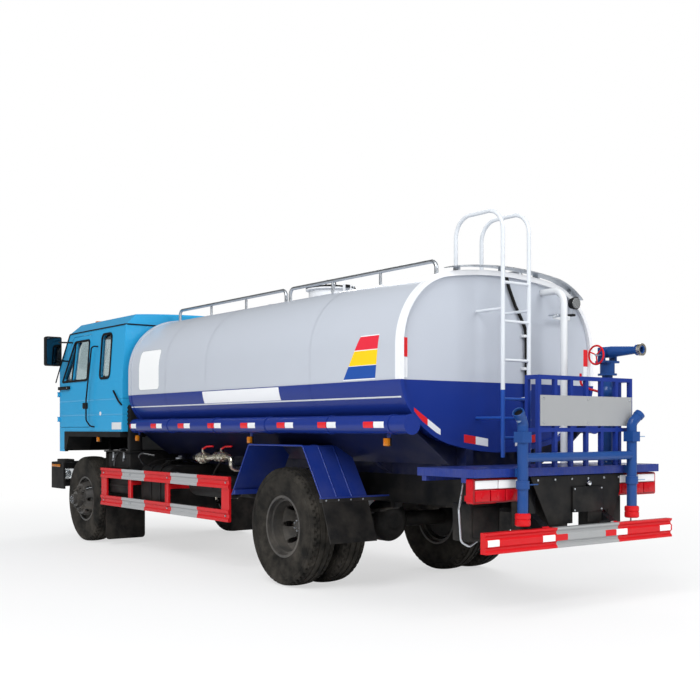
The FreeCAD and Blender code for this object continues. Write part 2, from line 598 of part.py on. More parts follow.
ear_low = "(tyre_radius - eye_height / 2 - ear_gap - ear_height)"
ear_high = "(tyre_radius + eye_height / 2 + ear_gap)"
knuckle_web = "(kingpin_side + eye_radius + ear_gap)"
arm_bottom = ear_low
knuckle_parts = [
    box("KnuckleWeb", ("front_axle - eye_radius", "front_axle + eye_radius"),
        (knuckle_web, f"{knuckle_web} + steer_web"), (ear_low, f"{ear_high} + ear_height")),
    cylinder("KingPin", "Z", ("front_axle", "kingpin_side", ear_low), f"{ear_high} + ear_height - {ear_low}",
             "kingpin_radius"),
    cylinder("BackPlate", "Y", ("front_axle", f"{front_mount} - {backplate_out} - drum_plate_wall",
                                "tyre_radius"),
             "drum_plate_wall", "drum_radius - drum_wall / 2"),
    cylinder("SpindleRoot", "Y", ("front_axle", knuckle_web, "tyre_radius"),
             f"{front_mount} - {backplate_out} - {knuckle_web}", "hub_radius - drum_wall"),
    cylinder("Spindle", "Y", ("front_axle", f"{front_mount} - {backplate_out}", "tyre_radius"),
             f"{backplate_out} + spindle_out", "spindle_radius"),
    box("SteerArm", ("front_axle - arm_length", "front_axle"),
        ("kingpin_side - arm_width / 2", "kingpin_side + arm_width / 2"),
        (arm_bottom, f"{arm_bottom} + arm_thick")),
    cylinder("SteerArmEnd", "Z", ("front_axle - arm_length", "kingpin_side", arm_bottom), "arm_thick",
             "rod_end_radius"),
    cylinder("BallStud", "Z", ("front_axle - arm_length", "kingpin_side", f"{arm_bottom} - stud_drop"),
             "stud_drop", "ball_radius"),
]
for name, low in (("LowerEar", ear_low), ("UpperEar", ear_high)):
    knuckle_parts.append(cylinder(name, "Z", ("front_axle", "kingpin_side", low), "ear_height", "eye_radius"))
    knuckle_parts.append(box(name + "Root", ("front_axle - eye_radius", "front_axle + eye_radius"),
                             ("kingpin_side", knuckle_web), (low, f"{low} + ear_height")))
knuckle = joined("Knuckle", knuckle_parts)
node("knuckle_left", knuckle)
node("knuckle_right", mirrored(knuckle))

rod_low = f"({arm_bottom} - rod_below - rod_end_height)"
rod_centre = f"({rod_low} + rod_end_height / 2)"
rod_bar = cylinder("TieRodBar", "Y", ("front_axle - arm_length", "-kingpin_side", rod_centre),
                   "2 * kingpin_side",
                   "rod_radius")
rod_end = cylinder("TieRodEnd", "Z", ("front_axle - arm_length", "kingpin_side", rod_low), "rod_end_height",
                   "rod_end_radius")
rod_bores = [
    cylinder("RodBoreLeft", "Z", ("front_axle - arm_length", "kingpin_side", f"{rod_low} - cut_over"),
             "rod_end_height + 2 * cut_over", "ball_radius + fit_gap"),
    cylinder("RodBoreRight", "Z", ("front_axle - arm_length", "-kingpin_side", f"{rod_low} - cut_over"),
             "rod_end_height + 2 * cut_over", "ball_radius + ball_gap"),
]
node("tie_rod", less("TieRod", joined("TieRodWhole", [rod_bar, rod_end, mirrored(rod_end)]), *rod_bores))


# Rear axle, springs and propeller shaft

banjo = turned("Banjo", "X", [
    ("-cover_depth", "0"),
    ("-cover_depth", "cover_radius / 2", "cover_bulge"),
    ("-banjo_half_width / 2", "banjo_radius"),
    ("banjo_half_width / 2", "banjo_radius"),
    ("pinion_reach / 2", "pinion_radius"),
    ("pinion_reach", "pinion_radius"),
    ("pinion_reach", "0"),
], ("rear_axle", "0", "tyre_radius"))
axle_tube = cylinder("AxleTube", "Y", ("rear_axle", f"{backplate_out} - rear_wheel + shut_gap",
                                       "tyre_radius"),
                     f"2 * (rear_wheel - {backplate_out} - shut_gap)", "axle_tube_radius")
rear_plate = cylinder("RearBackPlate", "Y",
                      ("rear_axle", f"rear_wheel - {backplate_out} - drum_plate_wall", "tyre_radius"),
                      "drum_plate_wall", "drum_radius - drum_wall / 2")
rear_spindle = cylinder("RearSpindle", "Y", ("rear_axle", f"rear_wheel - {backplate_out} - drum_plate_wall",
                                             "tyre_radius"),
                        f"{backplate_out} + drum_plate_wall + spindle_out", "rear_spindle_radius")
node("rear_axle_housing", joined("RearAxle", [
    banjo, axle_tube, rear_plate, rear_spindle, mirrored(rear_plate), mirrored(rear_spindle)]))


def leaf_spring(name, axle, half, rise, low):
    """Three stacked leaves, each shorter than the one above, under a clamp plate."""
    steps = [
        (half, f"{low} + 2 * leaf_thick + {rise}"),
        (f"{half} * middle_leaf_share", f"{low} + 2 * leaf_thick + {rise} * middle_leaf_share^2"),
        (f"{half} * middle_leaf_share", f"{low} + leaf_thick + {rise} * middle_leaf_share^2"),
        (f"{half} * short_leaf_share", f"{low} + leaf_thick + {rise} * short_leaf_share^2"),
        (f"{half} * short_leaf_share", f"{low} + {rise} * short_leaf_share^2"),
        ("clip_half", low),
    ]
    top = f"{low} + leaf_count * leaf_thick + {rise}"
    ahead = [(f"{axle} + {along}", up) for along, up in steps]
    behind = [(f"{axle} - {along}", up) for along, up in steps]
    outline = behind + ahead[::-1] + [(f"{axle} + {half}", top, rise), (f"{axle} - {half}", top)]
    side = ("spring_side - spring_width / 2", "spring_side + spring_width / 2")
    leaves = pad(name, "Y", outline, *side)
    plate_low = f"{low} + leaf_count * leaf_thick"
    plate = box(name + "Plate", (f"{axle} - clip_half", f"{axle} + clip_half"), side,
                (f"{plate_low} - leaf_thick / 2", f"{plate_low} + clip_thick"))
    return joined(name + "Whole", [leaves, plate])


front_spring_low = "(tyre_radius - beam_drop + beam_depth / 2 + spring_seat)"
rear_spring_low = "(tyre_radius + axle_tube_radius + spring_seat)"
springs = [
    leaf_spring("FrontSpring", "front_axle", "front_spring_half", "front_rise", front_spring_low),
    leaf_spring("RearSpring", "rear_axle", "rear_spring_half", "rear_rise", rear_spring_low),
]
seats = []
for name, axle, low in (("Front", "front_axle", front_spring_low), ("Rear", "rear_axle", rear_spring_low)):
    seats.append(box(name + "Seat", (f"{axle} - clip_half", f"{axle} + clip_half"),
                     ("spring_side - spring_width / 2", "spring_side + spring_width / 2"),
                     (f"{low} - spring_seat", f"{low} + leaf_thick / 2")))
springs = [joined("SpringOnSeat", [spring, seat]) for spring, seat in zip(springs, seats)]
node("leaf_springs", group("LeafSprings", springs + [mirrored(spring) for spring in springs]))

shaft_end = "(rear_axle + pinion_reach + touch_gap)"
shaft_from = "(gearbox_end - touch_gap)"
node("propeller_shaft", joined("PropellerShaft", [
    rod("ShaftTube", (f"{shaft_end} + joint_length / 2", "0", "tyre_radius"),
        (f"{shaft_from} - joint_length / 2", "0", "output_height"), "shaft_radius"),
    cylinder("ShaftRearJoint", "X", (shaft_end, "0", "tyre_radius"), "joint_length", "joint_radius"),
    cylinder("ShaftFrontJoint", "X", (f"{shaft_from} - joint_length", "0", "output_height"), "joint_length",
             "joint_radius"),
]))


# Chassis frame and engine

rail_outline = [
    ("frame_half_width", "frame_low"),
    ("frame_half_width", "frame_top"),
    ("rail_in", "frame_top"),
    ("rail_in", "frame_top - frame_wall"),
    ("web_in", "frame_top - frame_wall"),
    ("web_in", "frame_low + frame_wall"),
    ("rail_in", "frame_low + frame_wall"),
    ("rail_in", "frame_low"),
]
frame_ahead = "(front_axle + frame_front)"
frame_parts = [pad("FrameRail", "X", rail_outline, "rear_axle - frame_rear", frame_ahead)]
for spot in ("front_axle - front_spring_half", "front_axle + front_spring_half"):
    frame_parts.append(box("FrontHanger", (f"{spot} - hanger_half", f"{spot} + hanger_half"),
                           ("spring_side - spring_width / 2", "spring_side + spring_width / 2"),
                           (f"{front_spring_low} + leaf_count * leaf_thick + front_rise + touch_gap",
                            "frame_low")))
for spot in ("rear_axle - rear_spring_half", "rear_axle + rear_spring_half"):
    frame_parts.append(box("RearHanger", (f"{spot} - hanger_half", f"{spot} + hanger_half"),
                           ("spring_side - spring_width / 2", "spring_side + spring_width / 2"),
                           (f"{rear_spring_low} + leaf_count * leaf_thick + rear_rise + touch_gap",
                            "frame_low")))

# Lugs and pins that the cab tilts on, and the posts that its rear rests on
pivot_x = "(front_axle + tilt_ahead)"
lug_in = "(spring_side + tilt_lug_gap)"
lug_out = f"({lug_in} + tilt_lug_width)"
frame_parts += [
    box("TiltLug", (f"{pivot_x} - tilt_lug_half", f"{pivot_x} + tilt_lug_half"), (lug_in, lug_out),
        ("frame_top", "tilt_height + tilt_eye")),
    cylinder("TiltPin", "Y", (pivot_x, "spring_side - tilt_arm_width", "tilt_height"),
             "tilt_arm_width + tilt_lug_gap + tilt_lug_width", "tilt_pin"),
    box("CabPost", ("front_axle - cab_rear + post_inset - post_half",
                    "front_axle - cab_rear + post_inset + post_half"),
        ("spring_side - post_half_width", "spring_side + post_half_width"),
        ("frame_top", "cab_floor - touch_gap")),
]
frame_side = joined("FrameSide", frame_parts)
crossmembers = []
cross_spots = [f"(rear_axle - frame_rear * {share})" for share in REAR_CROSS_SHARES]
cross_spots += [f"(rear_axle + wheelbase * {share})" for share in CROSS_SHARES]
cross_spots.append(f"(front_axle + frame_front * {FRONT_CROSS_SHARE})")
for at in cross_spots:
    middle = "(frame_low + frame_depth / 2)"
    outline = [
        (f"{at}", f"{middle} - cross_depth / 2"),
        (f"{at}", f"{middle} + cross_depth / 2"),
        (f"{at} - cross_flange", f"{middle} + cross_depth / 2"),
        (f"{at} - cross_flange", f"{middle} + cross_depth / 2 - cross_wall"),
        (f"{at} - cross_wall", f"{middle} + cross_depth / 2 - cross_wall"),
        (f"{at} - cross_wall", f"{middle} - cross_depth / 2 + cross_wall"),
        (f"{at} - cross_flange", f"{middle} - cross_depth / 2 + cross_wall"),
        (f"{at} - cross_flange", f"{middle} - cross_depth / 2"),
    ]
    crossmembers.append(pad("CrossMember", "Y", outline, "-web_in", "web_in"))
node("chassis_frame", joined("ChassisFrame", [frame_side, mirrored(frame_side)] + crossmembers))

engine_parts = [
    box("EngineBody", ("front_axle - engine_rear", "front_axle + engine_front"),
        ("-engine_half_width", "engine_half_width"), ("engine_low", "engine_high")),
    box("Gearbox", ("gearbox_end", "front_axle - engine_rear"), ("-gearbox_half_width", "gearbox_half_width"),
        ("gearbox_low", "gearbox_high")),
]
for spot in ("front_axle - engine_rear + foot_half", "front_axle + engine_front - foot_half"):
    engine_parts.append(box("EngineFoot", (f"{spot} - foot_half", f"{spot} + foot_half"),
                            ("-frame_half_width", "frame_half_width"),
                            ("frame_top + touch_gap", "frame_top + foot_height")))
node("engine_block", joined("Engine", engine_parts))


# Cab

def cab_block(name, inset, floor):
    """The outer form of the cab shrunk by an inset: side view, front view and plan in common."""
    side = [
        (f"front_axle - cab_rear + {inset}", floor),
        (f"front_axle - cab_rear + {inset}", f"roof_height - roof_back_drop - {inset}"),
        (f"front_axle - cab_rear + roof_back_drop + {inset}", f"roof_height - {inset}"),
        (f"front_axle + roof_front - roof_back_drop - {inset}", f"roof_height - {inset}"),
        (f"front_axle + roof_front - {inset}", f"roof_front_height - {inset}"),
        (f"front_axle + screen_base - {inset}", "waist_height"),
        (f"front_axle + nose_front - {inset}", "nose_high"),
        (f"front_axle + nose_front - {inset}", "nose_break"),
        (f"front_axle + apron_front - {inset}", "apron_low"),
        ("front_axle + apron_rear", "apron_low"),
        ("front_axle + apron_rear", floor),
    ]
    front_half = [
        (f"cab_half_width - {inset}", "apron_low"),
        (f"cab_half_width - {inset}", "waist_height"),
        (f"gutter_half_width - {inset}", "gutter_height"),
        (f"shoulder_half_width - {inset}", f"shoulder_height - {inset}"),
    ]
    front = front_half[:3] + [front_half[3] + ("-roof_rise",)]
    front += [(f"-({across})", up) for across, up in front_half[::-1]]
    corner = [
        (f"front_axle + corner_start - {inset}", f"cab_half_width - {inset}", "corner_bulge"),
        (f"front_axle + nose_front - front_bow - {inset}", f"corner_half_width - {inset}", "front_bow"),
    ]
    plan = [
        (f"front_axle - cab_rear + {inset}", f"-(cab_half_width - {inset})"),
        (f"front_axle - cab_rear + {inset}", f"cab_half_width - {inset}"),
        corner[0],
        corner[1],
        (corner[1][0], f"-({corner[1][1]})", "corner_bulge"),
        (corner[0][0], f"-({corner[0][1]})"),
    ]
    return common(name, [
        pad(name + "Side", "Y", side, "-cab_half_width", "cab_half_width"),
        pad(name + "Front", "X", front, "front_axle - cab_rear", "front_axle + nose_front"),
        pad(name + "Plan", "Z", plan, "apron_low - cut_over", "roof_height + cut_over"),
    ])


def leaned(height):
    """How far the side glazing leans back at a height, from the waist up to the door's top."""
    return f"((door_front - door_top_front) * (({height}) - door_waist) / (door_high - door_waist))"


def door_outline(inset):
    """The door from the side, shrunk by an inset: upright at the rear, leaning with the windscreen ahead."""
    return [
        (f"front_axle - door_rear + {inset}", f"door_low + {inset}"),
        (f"front_axle - door_rear + {inset}", f"door_high - {inset}"),
        (f"front_axle + door_top_front - {inset}", f"door_high - {inset}"),
        (f"front_axle + door_front - {inset}", "door_waist"),
        (f"front_axle + door_front - {inset}", f"door_low + {inset}"),
    ]


def door_glass_outline(inset):
    """The opening for the door's window and quarter vent."""
    border = f"(glass_border + {inset})"
    return [
        (f"front_axle - door_rear + {border}", f"glass_low + {inset}"),
        (f"front_axle - door_rear + {border}", f"door_high - {border}"),
        (f"front_axle + door_top_front - {border}", f"door_high - {border}"),
        (f"front_axle + door_front - {leaned('glass_low')} - {border} - {inset}", f"glass_low + {inset}"),
    ]


def quarter_outline(inset):
    """The fixed window behind the door."""
    return [
        (f"front_axle - quarter_rear + {inset}", f"glass_low + {inset}"),
        (f"front_axle - quarter_rear + {inset}", f"quarter_high - {inset}"),
        (f"front_axle - quarter_front - {inset}", f"quarter_high - {inset}"),
        (f"front_axle - quarter_front - {inset}", f"glass_low + {inset}"),
    ]


def screen_outline(inset):
    """The windscreen opening from the front."""
    half = [(f"screen_half_low - {inset}", f"screen_low + {inset}"),
            (f"screen_half_high - {inset}", f"screen_high - {inset}")]
    return half + [(f"-({across})", up) for across, up in half[::-1]]


def back_glass_outline(inset):
    """The window in the cab's back wall."""
    half = [(f"back_glass_half - {inset}", f"back_glass_low + {inset}"),
            (f"back_glass_half - {inset}", f"back_glass_high - {inset}")]
    return half + [(f"-({across})", up) for across, up in half[::-1]]


side_span = ("cab_half_width - side_reach", "cab_half_width + cut_over")
four = dict.fromkeys(range(4), "glass_corner")
screen_four = dict.fromkeys(range(4), "screen_corner")
quarter_four = dict.fromkeys(range(4), "quarter_corner")
back_four = dict.fromkeys(range(4), "back_glass_corner")
door_rounds = {1: "door_corner", 2: "door_corner", 4: "door_corner"}


def side_cutter(name, outline, rounds):
    return pad(name, "Y", outline, *side_span, rounds)


def front_cutter(name, inset):
    return pad(name, "X", screen_outline(inset), "front_axle + door_top_front - glass_border",
               "front_axle + nose_front + cut_over", screen_four)


def back_cutter(name, inset):
    return pad(name, "X", back_glass_outline(inset), "front_axle - cab_rear - cut_over",
               "front_axle - cab_rear + cab_wall + cut_over", back_four)


cab_outer = cab_block("CabOuter", "0", "cab_floor")
cab_inner = cab_block("CabInner", "cab_wall", "floor_top")
under_apron = box("UnderApron", ("front_axle + apron_rear - cut_over",
                                 "front_axle + apron_front - apron_wall"),
                  ("-(cab_half_width - cab_wall)", "cab_half_width - cab_wall"),
                  ("apron_low - cut_over", "cab_floor"))
inner_above = less("CabInside", cab_inner, box(
    "FloorBlock", ("front_axle - cab_rear", "front_axle + nose_front"),
    ("-cab_half_width", "cab_half_width"), ("apron_low - cut_over", "floor_top")))
cab_skin = less("CabSkin", cab_outer, inner_above, under_apron)

doorway = side_cutter("Doorway", door_outline("0"), door_rounds)
door_block = side_cutter("DoorBlock", door_outline("shut_gap"), door_rounds)
door_window = side_cutter("DoorWindow", door_glass_outline("0"), four)
quarter_window = side_cutter("QuarterWindow", quarter_outline("0"), quarter_four)
cab_shell = less("CabShellOpen", cab_skin, doorway, mirrored(doorway), quarter_window,
                 mirrored(quarter_window),
                 front_cutter("ScreenCut", "0"), back_cutter("BackGlassCut", "0"))

arm_in = "(spring_side - tilt_arm_width)"
tilt_arm = joined("TiltArm", [
    box("TiltArmBar", (f"{pivot_x} - tilt_eye", f"{pivot_x} + tilt_eye"), (arm_in, "spring_side"),
        ("tilt_height", "cab_floor + floor_thick / 2")),
    cylinder("TiltArmEye", "Y", (pivot_x, arm_in, "tilt_height"), "tilt_arm_width", "tilt_eye"),
])
tilt_bore = cylinder("TiltBore", "Y", (pivot_x, f"{arm_in} - cut_over", "tilt_height"),
                     "tilt_arm_width + 2 * cut_over", "tilt_pin + fit_gap")
tilt_hook = less("TiltHook", tilt_arm, tilt_bore)
cab_whole = joined("CabWhole", [cab_shell, tilt_hook, mirrored(tilt_hook)])

# Glass follows the panels, set in from their outer face
glass_skin = less("GlassSkin", cab_block("GlassOuter", "glass_depth", "cab_floor"),
                  cab_block("GlassInner", "(glass_depth + glass_thick)", "cab_floor"))
door_glass = common("DoorGlass", [glass_skin, side_cutter("DoorGlassCut", door_glass_outline("touch_gap"),
                                                          four)])
quarter_glass = common("QuarterGlass", [glass_skin,
                                        side_cutter("QuarterGlassCut", quarter_outline("touch_gap"),
                                                    quarter_four)])
node("cab_glass", group("CabGlass", [
    common("Windscreen", [glass_skin, front_cutter("ScreenGlassCut", "touch_gap")]),
    common("BackGlass", [glass_skin, back_cutter("BackGlassPane", "touch_gap")]),
    quarter_glass, mirrored(quarter_glass)]))

divider = pad("VentDivider", "Y", [
    ("front_axle + vent_at - divider_half", "glass_low - divider_half"),
    ("front_axle + vent_at - vent_lean - divider_half", "door_high - glass_border + divider_half"),
    ("front_axle + vent_at - vent_lean + divider_half", "door_high - glass_border + divider_half"),
    ("front_axle + vent_at + divider_half", "glass_low - divider_half"),
], *side_span)
door_panel = less("DoorPanel", common("DoorSolid", [cab_skin, door_block]), door_window)
door_bar = common("DoorBar", [cab_skin, divider])
door_left = joined("DoorLeft", [door_panel, door_bar])
door_panes = less("DoorPanes", door_glass, pad("PaneGap", "Y", [
    ("front_axle + vent_at - divider_half - touch_gap", "glass_low - divider_half"),
    ("front_axle + vent_at - vent_lean - divider_half - touch_gap",
     "door_high - glass_border + divider_half"),
    ("front_axle + vent_at - vent_lean + divider_half + touch_gap",
     "door_high - glass_border + divider_half"),
    ("front_axle + vent_at + divider_half + touch_gap", "glass_low - divider_half"),
], *side_span))
hinge_spot = ("front_axle + door_front", "cab_half_width + door_eye")
door_hinges = []
pillar_hinges = []
hinge_bores = []
for name, up in (("Low", "hinge_low"), ("High", "hinge_high")):
    door_hinges.append(cylinder("DoorEye" + name, "Z", (*hinge_spot, up), "hinge_length", "door_eye"))
    door_hinges.append(box("DoorLeaf" + name, (f"{hinge_spot[0]} - leaf_length", hinge_spot[0]),
                           ("cab_half_width - shut_gap", hinge_spot[1]), (up, f"{up} + hinge_length")))
    hinge_bores.append(cylinder("DoorBore" + name, "Z", (*hinge_spot, f"{up} - cut_over"),
                                "hinge_length + 2 * cut_over", "door_pin + fit_gap"))
    pillar_hinges.append(cylinder("DoorPin" + name, "Z", (*hinge_spot, f"{up} - hinge_lug"),
                                  "hinge_length + 2 * hinge_lug", "door_pin"))
    for part, low in (("Under", f"{up} - hinge_lug"), ("Over", f"{up} + hinge_length + ball_gap")):
        lug = f"{low} + hinge_lug - ball_gap"
        pillar_hinges.append(cylinder("PillarEye" + part, "Z", (*hinge_spot, low), "hinge_lug - ball_gap",
                                      "door_eye"))
        pillar_hinges.append(box("PillarLeaf" + part, (hinge_spot[0], f"{hinge_spot[0]} + leaf_length"),
                                 ("cab_half_width - leaf_length", hinge_spot[1]), (low, lug)))
door_left = less("DoorHung", joined("DoorWithHinges", [door_left] + door_hinges), *hinge_bores)
node("door_left", door_left)
node("door_right", mirrored(door_left))
hinge_set = joined("PillarHinges", pillar_hinges)
node("cab_shell", joined("CabShell", [cab_whole, hinge_set, mirrored(hinge_set)]))
node("door_glass_left", door_panes)
node("door_glass_right", mirrored(door_panes))

# Grille on the nose
grille_back = "(front_axle + nose_front - front_bow)"
grille_block = box("GrilleBlock", (grille_back, "front_axle + nose_front + grille_proud"),
                   ("-grille_half", "grille_half"), ("grille_low", "grille_high"))
slots = []
pitch = "((grille_high - grille_low - 2 * grille_border + grille_bar) / grille_rows)"
for row in range(int(value("grille_rows"))):
    low = f"(grille_low + grille_border + {row} * {pitch})"
    slots.append(box("GrilleSlot", ("front_axle + nose_front + grille_slot",
                                    "front_axle + nose_front + grille_proud + cut_over"),
                     ("-(grille_half - grille_border)", "grille_half - grille_border"),
                     (low, f"{low} + {pitch} - grille_bar")))
grille_seat = cab_block("GrilleSeat", "(-touch_gap)", "cab_floor")
node("cab_grille", less("Grille", grille_block, grille_seat, *slots))


# Cab inside

def seat(name, centre, half):
    """A seat: cushion, leaning back and a base box, rounded at the cushion edges."""
    rear = "(front_axle + seat_front - seat_depth)"
    across = (f"{centre} - {half}", f"{centre} + {half}")
    cushion = pad(name + "Cushion", "Y", [
        (rear, "seat_low"), ("front_axle + seat_front", "seat_low"),
        ("front_axle + seat_front", "seat_high"), (rear, "seat_high"),
    ], *across, {1: "seat_round", 2: "seat_round"})
    back = pad(name + "Back", "Y", [
        (rear, "seat_high - seat_round"), (f"{rear} + back_thick", "seat_high - seat_round"),
        (f"{rear} + back_thick - back_lean", "back_high"), (f"{rear} - back_lean", "back_high"),
    ], *across, {2: "seat_round", 3: "seat_round"})
    base = box(name + "Base", (f"{rear} + seat_base_inset", "front_axle + seat_front - seat_base_inset"),
               (f"{across[0]} + seat_base_inset", f"{across[1]} - seat_base_inset"),
               ("floor_top + touch_gap", "seat_low + seat_round"))
    return joined(name, [cushion, back, base])


node("cab_seats", group("Seats", [
    seat("DriverSeat", "seat_side", "seat_half_width"),
    seat("MiddleSeat", "0", "bench_half_width"),
    seat("PassengerSeat", "-seat_side", "seat_half_width"),
]))

dash_ahead = "(front_axle + nose_front + dash_gap)"
dash_back = "(front_axle + screen_base - dash_depth)"
dash_block = pad("DashBlock", "Y", [
    (f"{dash_back} + dash_drop", "dash_low"),
    (dash_ahead, "dash_low"),
    (dash_ahead, "dash_high"),
    (f"{dash_back} + dash_slope", "dash_high"),
    (dash_back, "dash_high - dash_slope"),
], "-dash_half_width", "dash_half_width", {3: "seat_round", 4: "seat_round"})
wheel_spot = ("front_axle + wheel_centre - column_back", "seat_side", "wheel_height")
column_end = (f"{wheel_spot[0]} + column_length * sin(wheel_tilt)", "seat_side",
              "wheel_height - column_length * cos(wheel_tilt)")
node("cab_dashboard", less("Dashboard", common("DashSolid", [
    dash_block, cab_block("DashRoom", "(cab_wall + touch_gap)", "cab_floor")]),
    rod("ColumnRoom", wheel_spot, column_end, "column_radius + touch_gap")))

ring = doc.addObject("Part::Torus", "SteeringRing")
bind(ring, "Radius1", "wheel_ring")
bind(ring, "Radius2", "wheel_tube")
boss = doc.addObject("Part::Cylinder", "SteeringBoss")
bind(boss, "Radius", "boss_radius")
bind(boss, "Height", "boss_height")
bind(boss, ".Placement.Base.z", "-boss_height / 2")
spokes = [box("Spoke", ("-wheel_ring", "wheel_ring"), ("-spoke_width / 2", "spoke_width / 2"),
              ("-spoke_thick / 2", "spoke_thick / 2")),
          box("SpokeBack", ("-spoke_width / 2", "spoke_width / 2"), ("-wheel_ring", "0"),
              ("-spoke_thick / 2", "spoke_thick / 2"))]
steering = joined("SteeringSet", [ring, boss] + spokes)
place(steering, wheel_spot, FreeCAD.Rotation(V(0, 1, 0), -value("wheel_tilt")))
column = rod("SteeringColumn", wheel_spot, column_end, "column_radius")
node("steering_wheel", joined("SteeringWheel", [steering, column]))

# Mirrors on the doors, with an arm above and one below
mirror_x = "(front_axle + mirror_ahead)"
mirror_body = pad("MirrorHead", "X", [
    ("mirror_side - mirror_half_width", "mirror_low"), ("mirror_side + mirror_half_width", "mirror_low"),
    ("mirror_side + mirror_half_width", "mirror_high"), ("mirror_side - mirror_half_width", "mirror_high"),
], mirror_x, f"{mirror_x} + mirror_depth", dict.fromkeys(range(4), "mirror_round"))
arms = []
for name, up in (("Upper", "mirror_high - mirror_foot"), ("Lower", "mirror_low + mirror_foot")):
    foot = f"(front_axle + door_front - {leaned(up)} - glass_border / 2)"
    arms.append(rod("MirrorArm" + name, (foot, "gutter_half_width - cab_wall", up),
                    (f"{mirror_x} + mirror_depth / 2", "mirror_side", up), "mirror_arm_radius"))
mirror_left = less("MirrorLeft", joined("MirrorWhole", [mirror_body] + arms),
                   cab_block("MirrorSeat", "(-touch_gap)",
                                                                                        "cab_floor"))
node("mirror_left", mirror_left)
node("mirror_right", mirrored(mirror_left))

# Bowed grab handles on the pillars behind the doors, bent in at both ends to the panel
grab_x = "(front_axle - door_rear - grab_gap)"
grab_top = f"({grab_x} - grab_top_back)"
grab_foot = f"({grab_x} - grab_foot_back)"
grab_side = "(cab_half_width + grab_out)"
grab_tube = bent_tube("GrabTube", [
    (grab_top, "gutter_half_width - cab_wall", "grab_high"), (grab_top, grab_side, "grab_high"),
    (grab_x, grab_side, "grab_knee_high"), (grab_x, grab_side, "grab_knee_low"),
    (grab_foot, grab_side, "grab_low"), (grab_foot, "gutter_half_width - cab_wall", "grab_low")],
    "grab_bend", "grab_radius")
grab_left = less("GrabLeft", grab_tube, cab_block("GrabSeat", "(-touch_gap)", "cab_floor"))
node("cab_grab_handles", both_sides("GrabHandles", grab_left))

arch = pad("WheelArch", "Y", [
    ("front_axle - arch_rear", "cab_floor - touch_gap - arch_drop"),
    ("front_axle + arch_front - arch_in / 2", "cab_floor - touch_gap - arch_drop"),
    ("front_axle + arch_front - arch_lip", "arch_tip"),
    ("front_axle + arch_front - touch_gap", "arch_tip"),
    ("front_axle + arch_front - touch_gap", "cab_floor - touch_gap"),
    ("front_axle - arch_rear", "cab_floor - touch_gap"),
], "cab_half_width - arch_in", "cab_half_width + arch_out")
node("front_wheel_arches", both_sides("WheelArches", arch))


# Bumper and headlamps

def bumper_plan(inset):
    """Half and mirrored half of the bumper seen from above, shrunk by an inset."""
    half = [
        ("front_axle + bumper_back", f"bumper_half_width - {inset}"),
        ("front_end - bumper_bow - bumper_corner", f"bumper_half_width - {inset}", "bumper_bulge"),
        (f"front_end - bumper_bow - {inset}", f"bumper_corner_half - {inset}", "bumper_bow"),
    ]
    return half + [
        (half[2][0], f"-({half[2][1]})", "bumper_bulge"),
        (half[1][0], f"-({half[1][1]})"),
        (half[0][0], f"-({half[0][1]})"),
    ]


bumper_shell = less("BumperShell", pad("BumperOuter", "Z", bumper_plan("0"), "bumper_low", "bumper_high"),
                    pad("BumperInner", "Z", [("front_axle", bumper_plan("bumper_wall")[0][1])]
                        + bumper_plan("bumper_wall")[1:5] + [("front_axle",
                                                              bumper_plan("bumper_wall")[5][1])],
                        "bumper_low - cut_over", "bumper_high + cut_over"))
bumper_lamp_hole = box("LampHole", ("front_end - bumper_bow - bumper_corner", "front_end + cut_over"),
                       ("lamp_side - lamp_half_width", "lamp_side + lamp_half_width"),
                       ("lamp_low", "lamp_high"))
bumper_bracket = box("BumperBracket", (f"{frame_ahead} + touch_gap", "front_end - bumper_wall / 2"),
                     ("spring_side - bracket_half", "spring_side + bracket_half"),
                     ("bracket_low", "bracket_high"))
bracket_trimmed = common("BracketTrimmed", [bumper_bracket,
                                            pad("BracketLimit", "Z", bumper_plan("bumper_wall / 2"),
                                                                "bracket_low", "bracket_high")])
node("front_bumper", joined("FrontBumper", [
    less("BumperOpen", bumper_shell, bumper_lamp_hole, mirrored(bumper_lamp_hole)),
    bracket_trimmed, mirrored(bracket_trimmed)]))
lamp_body = common("HeadLamp", [
    box("HeadLampBlock", ("front_end - bumper_bow - bumper_corner", "front_end"),
        ("lamp_side - lamp_half_width + touch_gap", "lamp_side + lamp_half_width - touch_gap"),
        ("lamp_low + touch_gap", "lamp_high - touch_gap")),
    less("LampLayer", pad("LampOuter", "Z", bumper_plan("lamp_set"), "lamp_low", "lamp_high"),
         pad("LampInner", "Z", bumper_plan("lamp_depth"), "lamp_low", "lamp_high"))])
node("headlamps", both_sides("HeadLamps", lamp_body))


# Boxes and tanks beside the frame

def side_box(name, front, length, inward, outward, low, high, rounds):
    return pad(name, "X", [
        (inward, low), (outward, low), (outward, high), (inward, high),
    ], f"front_axle + {front} - {length}", f"front_axle + {front}", dict.fromkeys(range(4), rounds))


def frame_arm(name, ahead, inward, low, high):
    """A flat bracket from the frame rail out to what it carries."""
    return box(name, (f"{ahead} - leg_half", f"{ahead} + leg_half"), ("frame_half_width + touch_gap", inward),
               (low, high))


battery = side_box("Battery", "battery_front", "battery_length", "box_in", "battery_out", "battery_low",
                   "battery_high", "battery_round")
grooves = []
count = int(value("(battery_length - step_pitch) / step_pitch"))
for step in range(count):
    at = f"(front_axle + battery_front - ({step} + 1) * step_pitch)"
    grooves.append(box("StepGroove", (f"{at} - step_groove / 2", f"{at} + step_groove / 2"),
                       ("box_in - cut_over", "battery_out + cut_over"),
                       ("battery_high - step_groove / 2", "battery_high + cut_over")))
battery_arms = [frame_arm("BatteryArm", f"(front_axle + battery_front - battery_length * {share})",
                          "box_in + leg_half",
                          "frame_low + leg_half", "frame_top - leg_half") for share in POST_SHARES]
node("battery_box", joined("BatteryBox", [less("BatteryRibbed", battery, *grooves)] + battery_arms))

